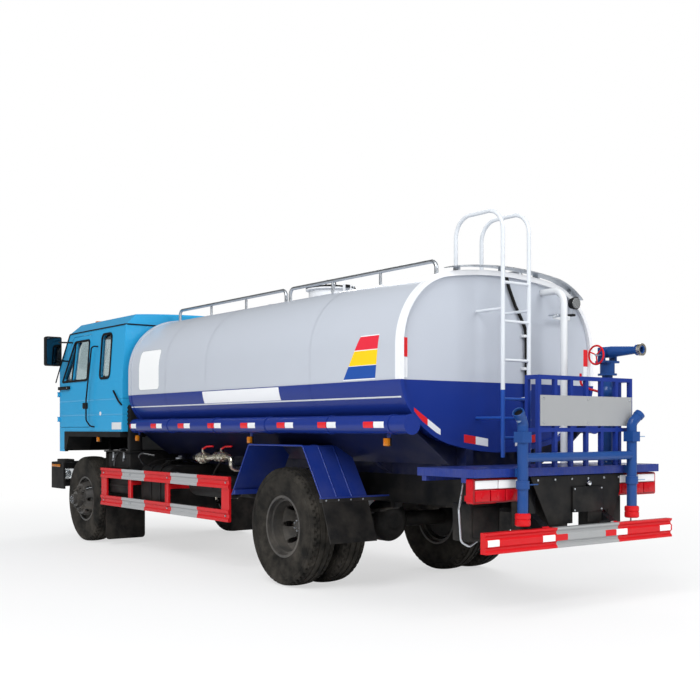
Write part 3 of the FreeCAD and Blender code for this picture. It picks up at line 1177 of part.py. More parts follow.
fuel = side_box("Fuel", "fuel_front", "fuel_length", "box_in", "fuel_out", "fuel_low", "fuel_high",
                "fuel_round")
straps = []
for share in POST_SHARES:
    at = f"(front_axle + fuel_front - fuel_length * {share})"
    straps.append(pad("FuelStrap", "X", [
        ("box_in - strap_proud", "fuel_low - strap_proud"),
        ("fuel_out + strap_proud", "fuel_low - strap_proud"),
        ("fuel_out + strap_proud", "fuel_high + strap_proud"),
        ("box_in - strap_proud", "fuel_high + strap_proud"),
    ], f"{at} - strap_half", f"{at} + strap_half", dict.fromkeys(range(4), "fuel_round")))
    straps.append(frame_arm("FuelArm", at, "box_in + leg_half", "frame_low + leg_half",
                            "frame_top - leg_half"))
filler = cylinder("Filler", "Z", ("front_axle + fuel_front - strap_in", "(box_in + fuel_out) / 2",
                                  "fuel_high - fuel_round"),
                  "fuel_round + cap_neck_high", "cap_neck")
node("fuel_tank", joined("FuelTank", [fuel, filler] + straps))

reservoirs = []
for name, side in (("Inner", "reservoir_side"), ("Outer", "reservoir_side + reservoir_spread")):
    half = "reservoir_length / 2"
    outline = [
        ("0", "0"), ("0", "reservoir_radius - reservoir_round", "reservoir_round / 4"),
        ("reservoir_round", "reservoir_radius"), ("reservoir_length - reservoir_round", "reservoir_radius",
                                                  "reservoir_round / 4"),
        ("reservoir_length", "reservoir_radius - reservoir_round"), ("reservoir_length", "0"),
    ]
    reservoirs.append(turned("Reservoir" + name, "X", outline,
                             ("front_axle + reservoir_front - reservoir_length", side, "reservoir_height")))
for share in POST_SHARES:
    at = f"(front_axle + reservoir_front - reservoir_length * {share})"
    reservoirs.append(frame_arm("ReservoirArm", at, "reservoir_side + reservoir_spread",
                                "reservoir_height - leg_half", "reservoir_height + leg_half"))
node("air_reservoirs", joined("AirReservoirs", reservoirs))

silencer = [cylinder("SilencerDrum", "X", ("front_axle + silencer_front - silencer_length", "-silencer_side",
                                           "silencer_height"), "silencer_length", "silencer_radius")]
silencer.append(bent_tube("TailPipe", [
    ("front_axle + silencer_front - silencer_length + tail_pipe_radius", "-silencer_side", "silencer_height"),
    ("front_axle + silencer_front - silencer_length - tail_pipe_back", "-silencer_side", "silencer_height"),
    ("front_axle + silencer_front - silencer_length - tail_pipe_back", "-tail_pipe_out",
     "silencer_height - tail_pipe_drop"),
], "tail_pipe_back / 2", "tail_pipe_radius"))
for share in POST_SHARES:
    at = f"(front_axle + silencer_front - silencer_length * {share})"
    silencer.append(mirrored(frame_arm("SilencerArm", at, "silencer_side", "silencer_height - leg_half",
                                       "silencer_height + leg_half")))
node("exhaust_silencer", joined("ExhaustSilencer", silencer))

# Side guards between the axles
guard_run = "(front_axle + guard_front - rear_axle - guard_rear)"
guard_legs = [f"(rear_axle + guard_rear + {guard_run} * {share})" for share in GUARD_LEG_SHARES]
guard_parts = []
for name, low in (("Lower", "guard_low"), ("Upper", "guard_high - guard_rail")):
    high = f"({low} + guard_rail)"
    guard_parts.append(pad("GuardRail" + name, "X", [
        ("guard_out", low),
        ("guard_out", f"{low} + guard_rail / 4"),
        ("guard_out - guard_rib", f"{low} + guard_rail * rib_low_share"),
        ("guard_out - guard_rib", f"{low} + guard_rail * rib_high_share"),
        ("guard_out", f"{low} + guard_rail * rib_top_share"),
        ("guard_out", high),
        ("guard_out - guard_depth", high),
        ("guard_out - guard_depth", low),
    ], "rear_axle + guard_rear", "front_axle + guard_front"))
for name, at, wide in (("Rear", "rear_axle + guard_rear", "guard_end"),
                       ("Middle", f"{guard_legs[1]} - guard_bar / 2", "guard_bar"),
                       ("Ahead", f"{guard_legs[2]} - guard_bar / 2", "guard_bar"),
                       ("Front", "front_axle + guard_front - guard_end", "guard_end")):
    guard_parts.append(box("GuardUpright" + name, (at, f"{at} + {wide}"),
                           ("guard_out - guard_depth", "guard_out - guard_rib"), ("guard_low", "guard_high")))
for at in guard_legs:
    guard_parts.append(frame_arm("GuardLeg", at, "guard_out - guard_depth / 2",
                                 "guard_leg_high - leg_half", "guard_leg_high + leg_half"))
guard = joined("SideGuard", guard_parts)
node("side_guards", both_sides("SideGuards", guard))


# Tank

def tank_half_outline(grow):
    """Right-hand half of the tank's section from the bottom up, each spot grown outwards."""
    return [
        (f"belly_half + {grow} / 4", f"belly_edge - {grow}", "-belly_bulge"),
        (f"lower_half + {grow} / 2", f"lower_edge - {grow} / 2", "-lower_bulge"),
        (f"tank_half_width + {grow}", "tank_side_low"),
        (f"tank_half_width + {grow}", "tank_side_high", "-shoulder_bulge"),
        (f"crown_half + {grow} / 4", f"crown_edge + {grow}"),
    ]


def tank_outline(grow):
    """The flattened oval of arcs, symmetrical left and right."""
    right = tank_half_outline(grow)
    left = [(f"-({across})", up) for across, up in [(spot[0], spot[1]) for spot in right][::-1]]
    bows = ["-crown_rise", "-shoulder_bulge", None, "-lower_bulge", "-belly_bulge", "-belly_drop"]
    outline = right[:4] + [right[4] + (bows[0],)]
    outline += [spot if bow is None else spot + (bow,) for spot, bow in zip(left, bows[1:])]
    return outline


def tank_prism(name, grow, low, high):
    return pad(name, "X", tank_outline(grow), low, high)


barrel = tank_prism("TankBarrel", "0", "tank_back", "tank_ahead")
rims = [tank_prism("RearRim", "rim_proud", "tank_back", "tank_back + rim_ring"),
        tank_prism("FrontRim", "rim_proud", "tank_ahead - rim_ring", "tank_ahead")]
heads = [tank_prism("RearHeadCut", "(-head_inset)", "tank_back - cut_over", "tank_back + head_set"),
         tank_prism("FrontHeadCut", "(-head_inset)", "tank_ahead - head_set", "tank_ahead + cut_over")]
band = common("SideBand", [
    tank_prism("BandGrown", "band_proud", "tank_back", "tank_ahead"),
    box("BandSlice", ("tank_back", "tank_ahead"), ("-tank_half_width - rim_proud",
                                                   "tank_half_width + rim_proud"),
        ("band_low", "band_high"))])
manhole_x = "(rear_axle + manhole_ahead)"
neck = cylinder("Neck", "Z", (manhole_x, "0", "crown_edge"), "neck_high - crown_edge", "neck_radius")
neck_flange = cylinder("NeckFlange", "Z", (manhole_x, "0", "neck_high - flange_thick"), "flange_thick",
                       "neck_flange")
well = cylinder("TankWell", "Z", (manhole_x, "0", "neck_high - well_depth"), "well_depth + cut_over",
                "neck_radius - neck_wall")
hinge_x = f"({manhole_x} - hinge_back)"
hinge_z = "(neck_high + touch_gap + lid_thick / 2)"
neck_ears = []
for side in ("-lid_ear_half - hinge_ear_gap - hinge_ear_wall", "lid_ear_half + hinge_ear_gap"):
    neck_ears.append(box("NeckEar", (f"{hinge_x} - hinge_eye", f"{hinge_x} + hinge_eye"),
                         (side, f"{side} + hinge_ear_wall"), ("crown_edge", f"{hinge_z} + hinge_eye")))
lid_pin = cylinder("LidPin", "Y", (hinge_x, "-lid_ear_half - hinge_ear_gap - hinge_ear_wall", hinge_z),
                   "2 * (lid_ear_half + hinge_ear_gap + hinge_ear_wall)", "hinge_pin")
node("tank_shell", joined("TankShell", [
    less("TankBody", joined("TankWhole", [barrel, band, neck, neck_flange] + rims), *heads, well),
    *neck_ears, lid_pin]))

lid_disc = turned("LidDisc", "Z", [
    ("0", "0"), ("0", "neck_flange"), ("lid_thick", "neck_flange"), ("lid_thick", "lid_dome", ),
    ("lid_thick + lid_rise", "lid_dome / 2"), ("lid_thick + lid_rise", "0"),
], (manhole_x, "0", "neck_high + touch_gap"))
lid_ear = box("LidEar", (hinge_x, f"{manhole_x} - lid_dome"), ("-lid_ear_half", "lid_ear_half"),
              ("neck_high + touch_gap", "neck_high + touch_gap + lid_thick"))
lid_eye = cylinder("LidEye", "Y", (hinge_x, "-lid_ear_half", hinge_z), "2 * lid_ear_half", "hinge_eye")
lid_bore = cylinder("LidBore", "Y", (hinge_x, "-lid_ear_half - cut_over", hinge_z),
                    "2 * (lid_ear_half + cut_over)", "hinge_pin + fit_gap")
lid_top = "(neck_high + touch_gap + lid_thick + lid_rise)"
lid_grip = bent_tube("LidGrip", [
    (manhole_x, "-lid_grip", f"{lid_top} - lid_rise"), (manhole_x, "-lid_grip", f"{lid_top} + grip_high"),
    (manhole_x, "lid_grip", f"{lid_top} + grip_high"), (manhole_x, "lid_grip", f"{lid_top} - lid_rise")],
    "grip_bend", "grip_radius")
node("manhole_lid", less("ManholeLid", joined("LidWhole", [lid_disc, lid_ear, lid_eye, lid_grip]), lid_bore))

# Saddles, sills and sloping trays under the tank, and the long round lockers that lie on the trays
rim_room = "(rim_proud + touch_gap)"
tank_room = joined("TankRoom", [
    tank_prism("BarrelRoom", "touch_gap", "tank_back - cut_over", "tank_ahead + cut_over"),
    tank_prism("RearRimRoom", rim_room, "tank_back - cut_over", "tank_back + rim_ring + touch_gap"),
    tank_prism("FrontRimRoom", rim_room, "tank_ahead - rim_ring - touch_gap", "tank_ahead + cut_over")])
tray_half = [
    ("tray_in", "tray_low"), ("tray_out", "tray_high"),
    ("tray_out", "tray_high + tray_wall"), ("tray_in", "tray_low + tray_wall"),
]
tray = pad("Tray", "X", tray_half, "tank_back", "tank_ahead")
saddle_outline_half = [
    ("frame_half_width", "frame_top + touch_gap"), ("tray_in", "tray_low + tray_wall / 2"),
    ("tray_out", "tray_high + tray_wall / 2"), ("tray_out", "tank_side_low - rim_ring"),
]
saddle_outline = saddle_outline_half[:3] + [("tray_out - rim_ring", "lower_edge")]
saddle_outline = saddle_outline + [(f"-({across})", up) for across, up in saddle_outline[::-1]]
cradle = [tray, mirrored(tray)]
for share in SADDLE_SHARES:
    at = f"(tank_back + (tank_ahead - tank_back) * {share})"
    cradle.append(pad("Saddle", "X", saddle_outline, f"{at} - saddle_half", f"{at} + saddle_half"))
sill = box("Sill", ("tank_back", "tank_ahead"), ("spring_side - sill_half", "spring_side + sill_half"),
           ("frame_top + touch_gap", "belly_edge - belly_bulge"))
hose_room = cylinder("LockerRoom", "X", ("rear_axle - hose_rear - cut_over", "hose_side", "hose_height"),
                     "tank_ahead - tank_fit - rear_axle + hose_rear + 2 * cut_over",
                     "hose_radius + hose_cap_proud + touch_gap")
cradle += [sill, mirrored(sill)]
node("tank_cradle", less("TankCradle", joined("CradleWhole", cradle), tank_room, hose_room,
                         mirrored(hose_room)))

locker = joined("Locker", [
    cylinder("LockerTube", "X", ("rear_axle - hose_rear", "hose_side", "hose_height"),
             "tank_ahead - tank_fit - rear_axle + hose_rear",
             "hose_radius"),
    cylinder("LockerCap", "X", ("rear_axle - hose_rear", "hose_side", "hose_height"), "hose_cap",
             "hose_radius + hose_cap_proud"),
    cylinder("LockerCapFront", "X", ("tank_ahead - tank_fit - hose_cap", "hose_side", "hose_height"),
             "hose_cap",
             "hose_radius + hose_cap_proud")])
locker_clips = []
for share in SADDLE_SHARES:
    at = f"(tank_back + (tank_ahead - tank_back) * {share})"
    locker_clips.append(cylinder("LockerBand", "X", (f"{at} - clip_width / 2", "hose_side", "hose_height"),
                                 "clip_width", "hose_radius + hose_cap_proud"))
locker_whole = less("LockerFitted", joined("LockerOnClips", [locker] + locker_clips), tank_room, tray)
node("hose_tubes", both_sides("HoseTubes", locker_whole))

# Handrails along the top, and the curved step over the rear rim
top_fittings = []
for name, back, ahead in (("Rear", "rear_axle - rear_rail_back", "rear_axle + rear_rail_front"),
                          ("Front", "rear_axle + front_rail_back", "tank_ahead - tank_fit")):
    run = f"(({ahead}) - ({back}))"
    bar = bent_tube(name + "TopRail", [
        (back, "rail_side", "crown_edge"), (back, "rail_side", "rail_high"),
        (ahead, "rail_side", "rail_high"), (ahead, "rail_side", "crown_edge")], "rail_bend", "rail_radius")
    posts = []
    for share in POST_SHARES:
        posts.append(cylinder(name + "RailPost", "Z", (f"{back} + {run} * {share}", "rail_side",
                                                       "crown_edge"),
                              "rail_high - crown_edge", "rail_radius - rail_post_less"))
    top_fittings.append(joined(name + "TopRailSet", [bar] + posts))
step_skin = less("StepSkin", tank_prism("StepOuter", "(top_band_rise + top_band_thick)",
                                        "tank_back - top_band_half",
                                        "tank_back + top_band_half"),
                 tank_prism("StepInner", "top_band_rise", "tank_back - top_band_half - cut_over",
                            "tank_back + top_band_half + cut_over"))
step_band = common("StepBand", [step_skin, box(
    "StepLimit", ("tank_back - top_band_half", "tank_back + top_band_half"),
    ("-top_band_right", "top_band_left"), ("tank_side_high", "rail_high"))])
clip_base = less("ClipStand", tank_prism("ClipOuter", "(top_band_rise + top_band_thick / 2)", "tank_back",
                                         "tank_back + rim_ring"),
                 tank_prism("ClipInner", "(rim_proud + touch_gap)", "tank_back - cut_over",
                            "tank_back + rim_ring + cut_over"))
step_clips = []
for share in STEP_CLIP_SHARES:
    at = f"(top_band_right * {share})"
    step_clips.append(common("StepClip", [clip_base, box(
        "ClipSlice", ("tank_back", "tank_back + rim_ring"),
        (f"{at} - clip_width / 2", f"{at} + clip_width / 2"),
        ("tank_side_high", "rail_high"))]))
top_rails = less("TopRails", group("TopRailPair", top_fittings), tank_room)
node("tank_handrails", group("Handrails", [
    top_rails, mirrored(top_rails), joined("RearTopStep", [step_band] + step_clips)]))

# Ladder with its two hoops over the tank's edge
ladder_x = "(rear_axle - ladder_back)"
hoop_x = "(rear_axle - hoop_front)"
ladder_parts = []
for name, side in (("Left", "ladder_left"), ("Right", "-ladder_right")):
    ladder_parts.append(less("LadderRail" + name, bent_tube("LadderTube" + name, [
        (ladder_x, side, "ladder_low"), (ladder_x, side, "hoop_high"),
        (hoop_x, side, "hoop_high"), (hoop_x, side, "crown_edge")], "hoop_bend", "ladder_radius"), tank_room))
    for up in ("stay_height", "stay_height_high"):
        ladder_parts.append(cylinder("LadderStay", "X", (ladder_x, side, up),
                                     "ladder_back - tank_rear + head_set - touch_gap", "stay_radius"))
rung_total = int(value("rung_count"))
for rung in range(rung_total):
    up = f"(rung_low + {rung} * rung_pitch)"
    ladder_parts.append(cylinder("Rung", "Y", (ladder_x, "-ladder_right", up), "ladder_left + ladder_right",
                                 "rung_radius"))
node("rear_ladder", joined("Ladder", ladder_parts))

overflow_x = "(rear_axle - overflow_back)"
overflow_parts = [
    bent_tube("OverflowTube", [
        (overflow_x, "-overflow_side", "deck_high + touch_gap"),
        (overflow_x, "-overflow_side", "overflow_high"),
        ("tank_back + head_set - touch_gap", "-overflow_side", "overflow_high")], "overflow_bend",
              "overflow_radius"),
    box("OverflowClip", (overflow_x, "tank_back + head_set - touch_gap"),
        ("-overflow_side - clip_width / 2", "-overflow_side + clip_width / 2"),
        ("overflow_clip - clip_width / 2", "overflow_clip + clip_width / 2")),
]
node("overflow_pipe", joined("OverflowPipe", overflow_parts))


# Rear platform, railing and sign

deck_box = box("DeckBlock", ("deck_back", "rear_axle - deck_front"), ("-deck_half_width", "deck_half_width"),
               ("deck_high - deck_skirt", "deck_high"))
deck_hollow = box("DeckHollow", ("deck_back + deck_wall", "rear_axle - deck_front - deck_wall"),
                  ("-deck_half_width + deck_wall", "deck_half_width - deck_wall"),
                  ("deck_high - deck_skirt - cut_over", "deck_high - deck_wall"))
deck_bars = []
for name, at in (("Rear", "deck_back + 2 * deck_cross"),
                 ("Front", "rear_axle - deck_front - 2 * deck_cross")):
    deck_bars.append(box("DeckBar" + name, (at, f"{at} + deck_cross"),
                         ("-deck_half_width + deck_wall / 2", "deck_half_width - deck_wall / 2"),
                         ("frame_top + touch_gap", "deck_high - deck_wall / 2")))
node("rear_platform", joined("RearPlatform", [less("DeckShell", deck_box, deck_hollow)] + deck_bars))

fence_x = "(rear_axle - fence_back)"
post = "(2 * post_radius)"
foot_z = "deck_high + touch_gap"
fence_parts = []
last_post = int(value("fence_posts")) - 1
for index in range(last_post + 1):
    at = f"(fence_left - (fence_left + fence_right) * {index} / {last_post})"
    fence_parts.append(box("FencePost", (f"{fence_x} - post_radius", f"{fence_x} + post_radius"),
                           (f"{at} - post_radius", f"{at} + post_radius"), (foot_z, "fence_high")))
for name, at in (("Left", "fence_left"), ("Right", "-fence_right")):
    fence_parts.append(box("FenceCorner" + name, ("rear_axle - fence_return - post_radius",
                                                  "rear_axle - fence_return + post_radius"),
                           (f"{at} - post_radius", f"{at} + post_radius"), (foot_z, "fence_high")))
    for up in ("fence_high", "fence_middle"):
        fence_parts.append(box("FenceReturn" + name, (fence_x, "rear_axle - fence_return"),
                               (f"{at} - post_radius", f"{at} + post_radius"), (f"{up} - {post}", up)))
for up in ("fence_high", "fence_middle", "deck_high + fence_kick"):
    fence_parts.append(box("FenceRail", (f"{fence_x} - post_radius", f"{fence_x} + post_radius"),
                           ("-fence_right", "fence_left"), (f"{up} - {post}", up)))
node("platform_railing", joined("PlatformRailing", fence_parts))
node("railing_sign", box("RailingSign", (f"{fence_x} - post_radius - touch_gap - sign_thick",
                                         f"{fence_x} - post_radius - touch_gap"),
                         ("-fence_right", "fence_left"), ("sign_low", "sign_high")))


# Spray pipes, pump and water cannon

spray_x = "(rear_axle - spray_back)"
spray_tube = bent_tube("SprayTube", [
    (spray_x, "spray_side", "spray_low"), (spray_x, "spray_side", "spray_high"),
    (f"{spray_x} - spray_mouth_back", "spray_side + spray_mouth", "spray_high + spray_mouth")],
    "spray_bend", "spray_radius")
spray_side = [
    spray_tube,
    cylinder("SprayCap", "Z", (spray_x, "spray_side", "spray_low"), "spray_cap_high", "spray_cap"),
    box("SprayValve", (f"{spray_x} - valve_half", f"{spray_x} + valve_half"),
        ("spray_side - valve_half", "spray_side + valve_half"), ("valve_low", "valve_high")),
    box("SprayClamp", (spray_x, "deck_back - touch_gap"),
        ("spray_side - clip_width", "spray_side + clip_width"),
        ("deck_high - deck_skirt", "deck_high")),
]
spray_left = joined("SprayLeft", spray_side)
manifold = cylinder("Manifold", "Y", (spray_x, "-spray_side", "manifold_height"), "2 * spray_side",
                    "manifold_radius")
levers = []
for name, root, up in (("LowLeft", "spray_side - collar_radius - lever_length", "lever_low"),
                       ("LowRight", "-spray_side - collar_radius - lever_length", "lever_low"),
                       ("HighRight", "-spray_side - collar_radius - lever_length",
                        "(valve_low + valve_high) / 2")):
    levers.append(box("Lever" + name, (f"{spray_x} - lever_half", f"{spray_x} + lever_half"),
                      (root, f"{root} + collar_radius + lever_length"),
                      (f"{up} - lever_thick / 2", f"{up} + lever_thick / 2")))
for name, side in (("Left", "spray_side"), ("Right", "-spray_side")):
    levers.append(cylinder("LeverCollar" + name, "Z", (spray_x, side, "lever_low - collar_half"),
                           "2 * collar_half", "collar_radius"))
node("sprinkler_pipes", joined("SprinklerPipes", [spray_left, mirrored(spray_left), manifold] + levers))

pump_x = "(rear_axle + pump_ahead)"
pump_parts = [
    cylinder("PumpBody", "X", (pump_x, "-pump_side", "pump_height"), "pump_width", "pump_radius"),
    cylinder("PumpMotor", "X", (f"{pump_x} + pump_width", "-pump_side", "pump_height"), "pump_motor_length",
             "pump_motor_radius"),
    box("PumpArm", (pump_x, f"{pump_x} + pump_width"), ("-pump_side", "-frame_half_width - touch_gap"),
        ("pump_height - leg_half", "pump_height + leg_half")),
    bent_tube("PumpPipe", [
        (f"{pump_x} + pipe_radius", "-pump_side", "pump_height"),
        (f"{pump_x} - pump_radius", "-pump_side", "pump_height"),
        (f"{pump_x} - 2 * pump_radius", "-pipe_side", "pipe_height"),
        ("rear_axle - deck_front - deck_cross / 2", "-pipe_side", "pipe_height")], "pump_radius / 4",
              "pipe_radius"),
]
node("water_pump", joined("WaterPump", pump_parts))

cannon_x = "(rear_axle - cannon_back)"
riser = [
    cylinder("Riser", "Z", (cannon_x, "-cannon_side", "deck_high + touch_gap"),
             "riser_high - deck_high - touch_gap",
             "riser_radius"),
    cylinder("RiserFoot", "Z", (cannon_x, "-cannon_side", "deck_high + touch_gap"), "flange_plate",
             "riser_flange"),
    cylinder("RiserHead", "Z", (cannon_x, "-cannon_side", "riser_high - flange_plate"), "flange_plate",
             "riser_flange"),
    cylinder("RiserSpigot", "Z", (cannon_x, "-cannon_side", "riser_high"), "spigot_high", "riser_radius / 2"),
]
node("cannon_riser", joined("CannonRiser", riser))
swivel_low = "(riser_high + swivel_gap)"
swivel = [
    less("SwivelBase", cylinder("SwivelDrum", "Z", (cannon_x, "-cannon_side", swivel_low),
                                "cannon_height - yoke_high - riser_high - swivel_gap", "swivel_radius"),
         cylinder("SwivelBore", "Z", (cannon_x, "-cannon_side", swivel_low), "spigot_high + swivel_gap",
                  "riser_radius / 2 + fit_gap")),
    box("YokeBase", (f"{cannon_x} - swivel_radius", f"{cannon_x} + swivel_radius"),
        ("-cannon_side - yoke_half", "-cannon_side + yoke_half"),
        ("cannon_height - yoke_high - yoke_wall", "cannon_height - yoke_high")),
]
for name, side in (("Left", "-cannon_side + yoke_half - yoke_wall"), ("Right", "-cannon_side - yoke_half")):
    cheek = box("YokeCheek" + name, (f"{cannon_x} - trunnion_radius - yoke_wall",
                                     f"{cannon_x} + trunnion_radius + yoke_wall"),
                (side, f"{side} + yoke_wall"), ("cannon_height - yoke_high - yoke_wall",
                                                "cannon_height + trunnion_radius + yoke_wall"))
    hole = cylinder("TrunnionHole" + name, "Y", (cannon_x, f"{side} - cut_over", "cannon_height"),
                    "yoke_wall + 2 * cut_over", "trunnion_radius + fit_gap")
    swivel.append(less("YokeSide" + name, cheek, hole))
node("cannon_swivel", joined("CannonSwivel", swivel))
barrel_out = turned("BarrelBody", "X", [
    ("-barrel_length", "0"), ("-barrel_length", "nozzle_flare"),
    ("-barrel_length + nozzle_flare", "nozzle_flare"),
    ("-barrel_length + nozzle_flare", "barrel_tip"), ("-barrel_back", "barrel_radius"),
    ("barrel_back", "barrel_radius"), ("barrel_back", "0"),
], (cannon_x, "-cannon_side", "cannon_height"))
barrel_mouth = cylinder("BarrelMouth", "X", (f"{cannon_x} - barrel_length - cut_over", "-cannon_side",
                                             "cannon_height"),
                        "nozzle_flare * 2 + cut_over", "barrel_tip - barrel_wall")
trunnions = cylinder("Trunnions", "Y", (cannon_x, "-cannon_side - yoke_half", "cannon_height"),
                     "2 * yoke_half",
                     "trunnion_radius")
node("cannon_barrel", joined("CannonBarrel", [less("BarrelOpen", barrel_out, barrel_mouth), trunnions]))


# Rear mudguards, underrun bar, rear panel and tail lamps

def mud_outline(inset):
    return [
        (f"rear_axle + mud_front - {inset}", "mud_front_low"),
        (f"rear_axle + mud_top_front - {inset} / 2", f"mud_top - {inset}"),
        (f"rear_axle - mud_top_rear + {inset} / 2", f"mud_top - {inset}"),
        (f"rear_axle - mud_rear + {inset}", "mud_rear_low"),
        (f"rear_axle - flap_rear + {inset}", "flap_low"),
    ]


guard_skin = pad("MudSkin", "Y", mud_outline("0") + mud_outline("mud_wall")[::-1], "mud_in", "mud_out")
mud_limit = pad("MudLimit", "X", [
    ("tray_in", "tray_low - 2 * touch_gap"), ("tray_out", "tray_high - 2 * touch_gap"),
    ("tray_out", "tray_high + rim_ring"), ("tray_in", "tray_high + rim_ring"),
], "rear_axle - mud_rear", "rear_axle + mud_front")
mud_arms = []
for name, at in (("Front", "rear_axle + mud_arm_ahead"), ("Rear", "rear_axle - mud_arm_behind")):
    mud_arms.append(box("MudArm" + name, (f"{at} - mud_arm_half", f"{at} + mud_arm_half"),
                        ("frame_half_width + touch_gap", "mud_out"),
                        ("mud_arm_up - mud_arm_half", "mud_arm_up + mud_arm_half")))
mudguard = joined("Mudguard", [less("MudSkinTrimmed", guard_skin, mud_limit)] + mud_arms)
node("rear_mudguards", both_sides("Mudguards", mudguard))

bar_profile = [
    ("rear_end", "bar_low"),
    ("rear_end", "bar_low + bar_rib"),
    ("rear_end + bar_rib", "bar_low + 2 * bar_rib"),
    ("rear_end + bar_rib", "bar_low + bar_flange"),
    ("rear_end", "bar_low + 4 * bar_rib"),
    ("rear_end", "bar_high - 4 * bar_rib"),
    ("rear_end + bar_rib", "bar_high - bar_flange"),
    ("rear_end + bar_rib", "bar_high - 2 * bar_rib"),
    ("rear_end", "bar_high - bar_rib"),
    ("rear_end", "bar_high"),
    ("rear_end + bar_depth", "bar_high"),
    ("rear_end + bar_depth", "bar_low"),
]
leg = pad("BarLeg", "Y", [
    ("rear_end + bar_depth / 2", "bar_low + bar_rib"),
    ("rear_end + bar_depth / 2", "bar_high - bar_rib"),
    ("rear_axle - frame_rear - touch_gap - bar_leg_half", "frame_low"),
    ("rear_axle - frame_rear - touch_gap - bar_leg_half", "frame_top - frame_wall"),
    ("rear_axle - frame_rear - touch_gap", "frame_top - frame_wall"),
    ("rear_axle - frame_rear - touch_gap", "frame_low"),
    ("rear_end + bar_depth + bar_leg_half", "bar_low + bar_rib"),
], "spring_side - bar_leg_half", "spring_side + bar_leg_half")
node("rear_underrun_bar", joined("UnderrunBar", [
    pad("BarBeam", "Y", bar_profile, "-bar_half_width", "bar_half_width"), leg, mirrored(leg)]))

panel_at = "(rear_axle - frame_rear - touch_gap - 2 * bar_leg_half)"
panel = pad("RearPanelPlate", "X", [
    ("panel_low_left", "panel_low"), ("panel_left", "panel_high"), ("-panel_right", "panel_high"),
    ("-panel_low_right", "panel_low"), ("notch_middle - notch_half", "panel_low"),
    ("notch_middle - notch_half", "notch_high"), ("notch_middle + notch_half", "notch_high"),
    ("notch_middle + notch_half", "panel_low"),
], f"{panel_at} - panel_wall", panel_at)
leg_room = "(bar_leg_half + touch_gap)"
leg_slot = box("LegSlot", (f"{panel_at} - panel_wall - cut_over", f"{panel_at} + cut_over"),
               (f"-spring_side - {leg_room}", f"{leg_room} - spring_side"),
               ("panel_low - cut_over", "frame_low"))
node("rear_panel", less("RearPanel", panel, leg_slot))

tail_lens = pad("TailHousing", "X", [
    ("tail_in", "tail_low"), ("tail_out", "tail_low"), ("tail_out", "tail_high"), ("tail_in", "tail_high"),
], "rear_axle - tail_back", "rear_axle - tail_back + tail_depth", dict.fromkeys(range(4), "tail_lip"))
tail_window = box("TailWindow", ("rear_axle - tail_back - cut_over", "rear_axle - tail_back + tail_set"),
                  ("tail_in + tail_lip", "tail_out - tail_lip"),
                  ("tail_low + tail_lip", "tail_high - tail_lip"))
tail_arm = box("TailArm", ("rear_axle - tail_back + tail_depth - tail_set",
                           "rear_axle - frame_rear + leg_half"),
               ("frame_half_width + touch_gap", "tail_out - tail_lip"),
               ("tail_low + tail_lip", "tail_low + tail_lip + tail_arm_high"))
tail_lamp = joined("TailLamp", [less("TailFrame", tail_lens, tail_window), tail_arm])
node("tail_lamps", both_sides("TailLamps", tail_lamp))


# Check every feature, then write one file for each sub-part

doc.recompute()
for item in doc.Objects:
    if "Invalid" in item.State or "Error" in item.State:
        raise RuntimeError(f"{item.Name} failed: {item.State}")
for label, thing in nodes.items():
    if thing.Shape.isNull() or not thing.Shape.isValid() or not thing.Shape.Solids:
        raise RuntimeError(f"{label} has no valid solid")
os.makedirs("parts", exist_ok=True)
for label, thing in nodes.items():
    thing.Shape.exportStep(f"parts/{label}.step")
print(len(nodes), "sub-parts written")
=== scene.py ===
import math
import bpy
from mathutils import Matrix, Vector


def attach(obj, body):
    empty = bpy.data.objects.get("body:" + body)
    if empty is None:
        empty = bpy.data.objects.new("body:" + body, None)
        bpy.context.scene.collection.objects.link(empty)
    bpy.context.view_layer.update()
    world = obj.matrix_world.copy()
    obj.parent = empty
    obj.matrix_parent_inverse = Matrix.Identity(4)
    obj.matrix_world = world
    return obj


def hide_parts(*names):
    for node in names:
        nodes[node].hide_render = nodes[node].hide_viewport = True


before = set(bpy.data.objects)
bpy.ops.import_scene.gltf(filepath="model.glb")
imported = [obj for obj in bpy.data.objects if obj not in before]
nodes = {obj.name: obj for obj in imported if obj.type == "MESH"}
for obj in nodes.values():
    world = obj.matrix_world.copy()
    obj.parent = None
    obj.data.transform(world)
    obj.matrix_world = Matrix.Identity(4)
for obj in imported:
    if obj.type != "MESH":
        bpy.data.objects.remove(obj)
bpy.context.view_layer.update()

MM = 0.001
REAR_AXLE = -1.710
FRONT_AXLE = 2.890
TANK_REAR = -3.290
TUBE_UP = 1.427
AXLE_UP = 0.527
TREAD_STEPS = 108
CAB_SIDE = 1.153
BAND_TOP = 1.775
SIDES = (("left", 1), ("right", -1))
AXES = {"X": (1, 0, 0), "Y": (0, 1, 0), "Z": (0, 0, 1)}


# Colours and nodes

def linear(code):
    """An sRGB hex value as linear red, green, blue and alpha."""
    parts = [int(code[start:start + 2], 16) / 255 for start in (1, 3, 5)]
    return tuple(part / 12.92 if part <= 0.04045 else ((part + 0.055) / 1.055) ** 2.4 for part in parts) + (1,)


def add(tree, kind, inputs=None, **settings):
    """Add a node with its settings; an input takes a node, one of its sockets, a hex colour or a value."""
    node = tree.nodes.new("ShaderNode" + kind)
    for name, setting in settings.items():
        setattr(node, name, setting)
    for key, source in (inputs or {}).items():
        if isinstance(source, bpy.types.Node):
            source = source.outputs[0]
        if isinstance(source, bpy.types.NodeSocket):
            tree.links.new(source, node.inputs[key])
        else:
            node.inputs[key].default_value = linear(source) if isinstance(source, str) else source
    return node


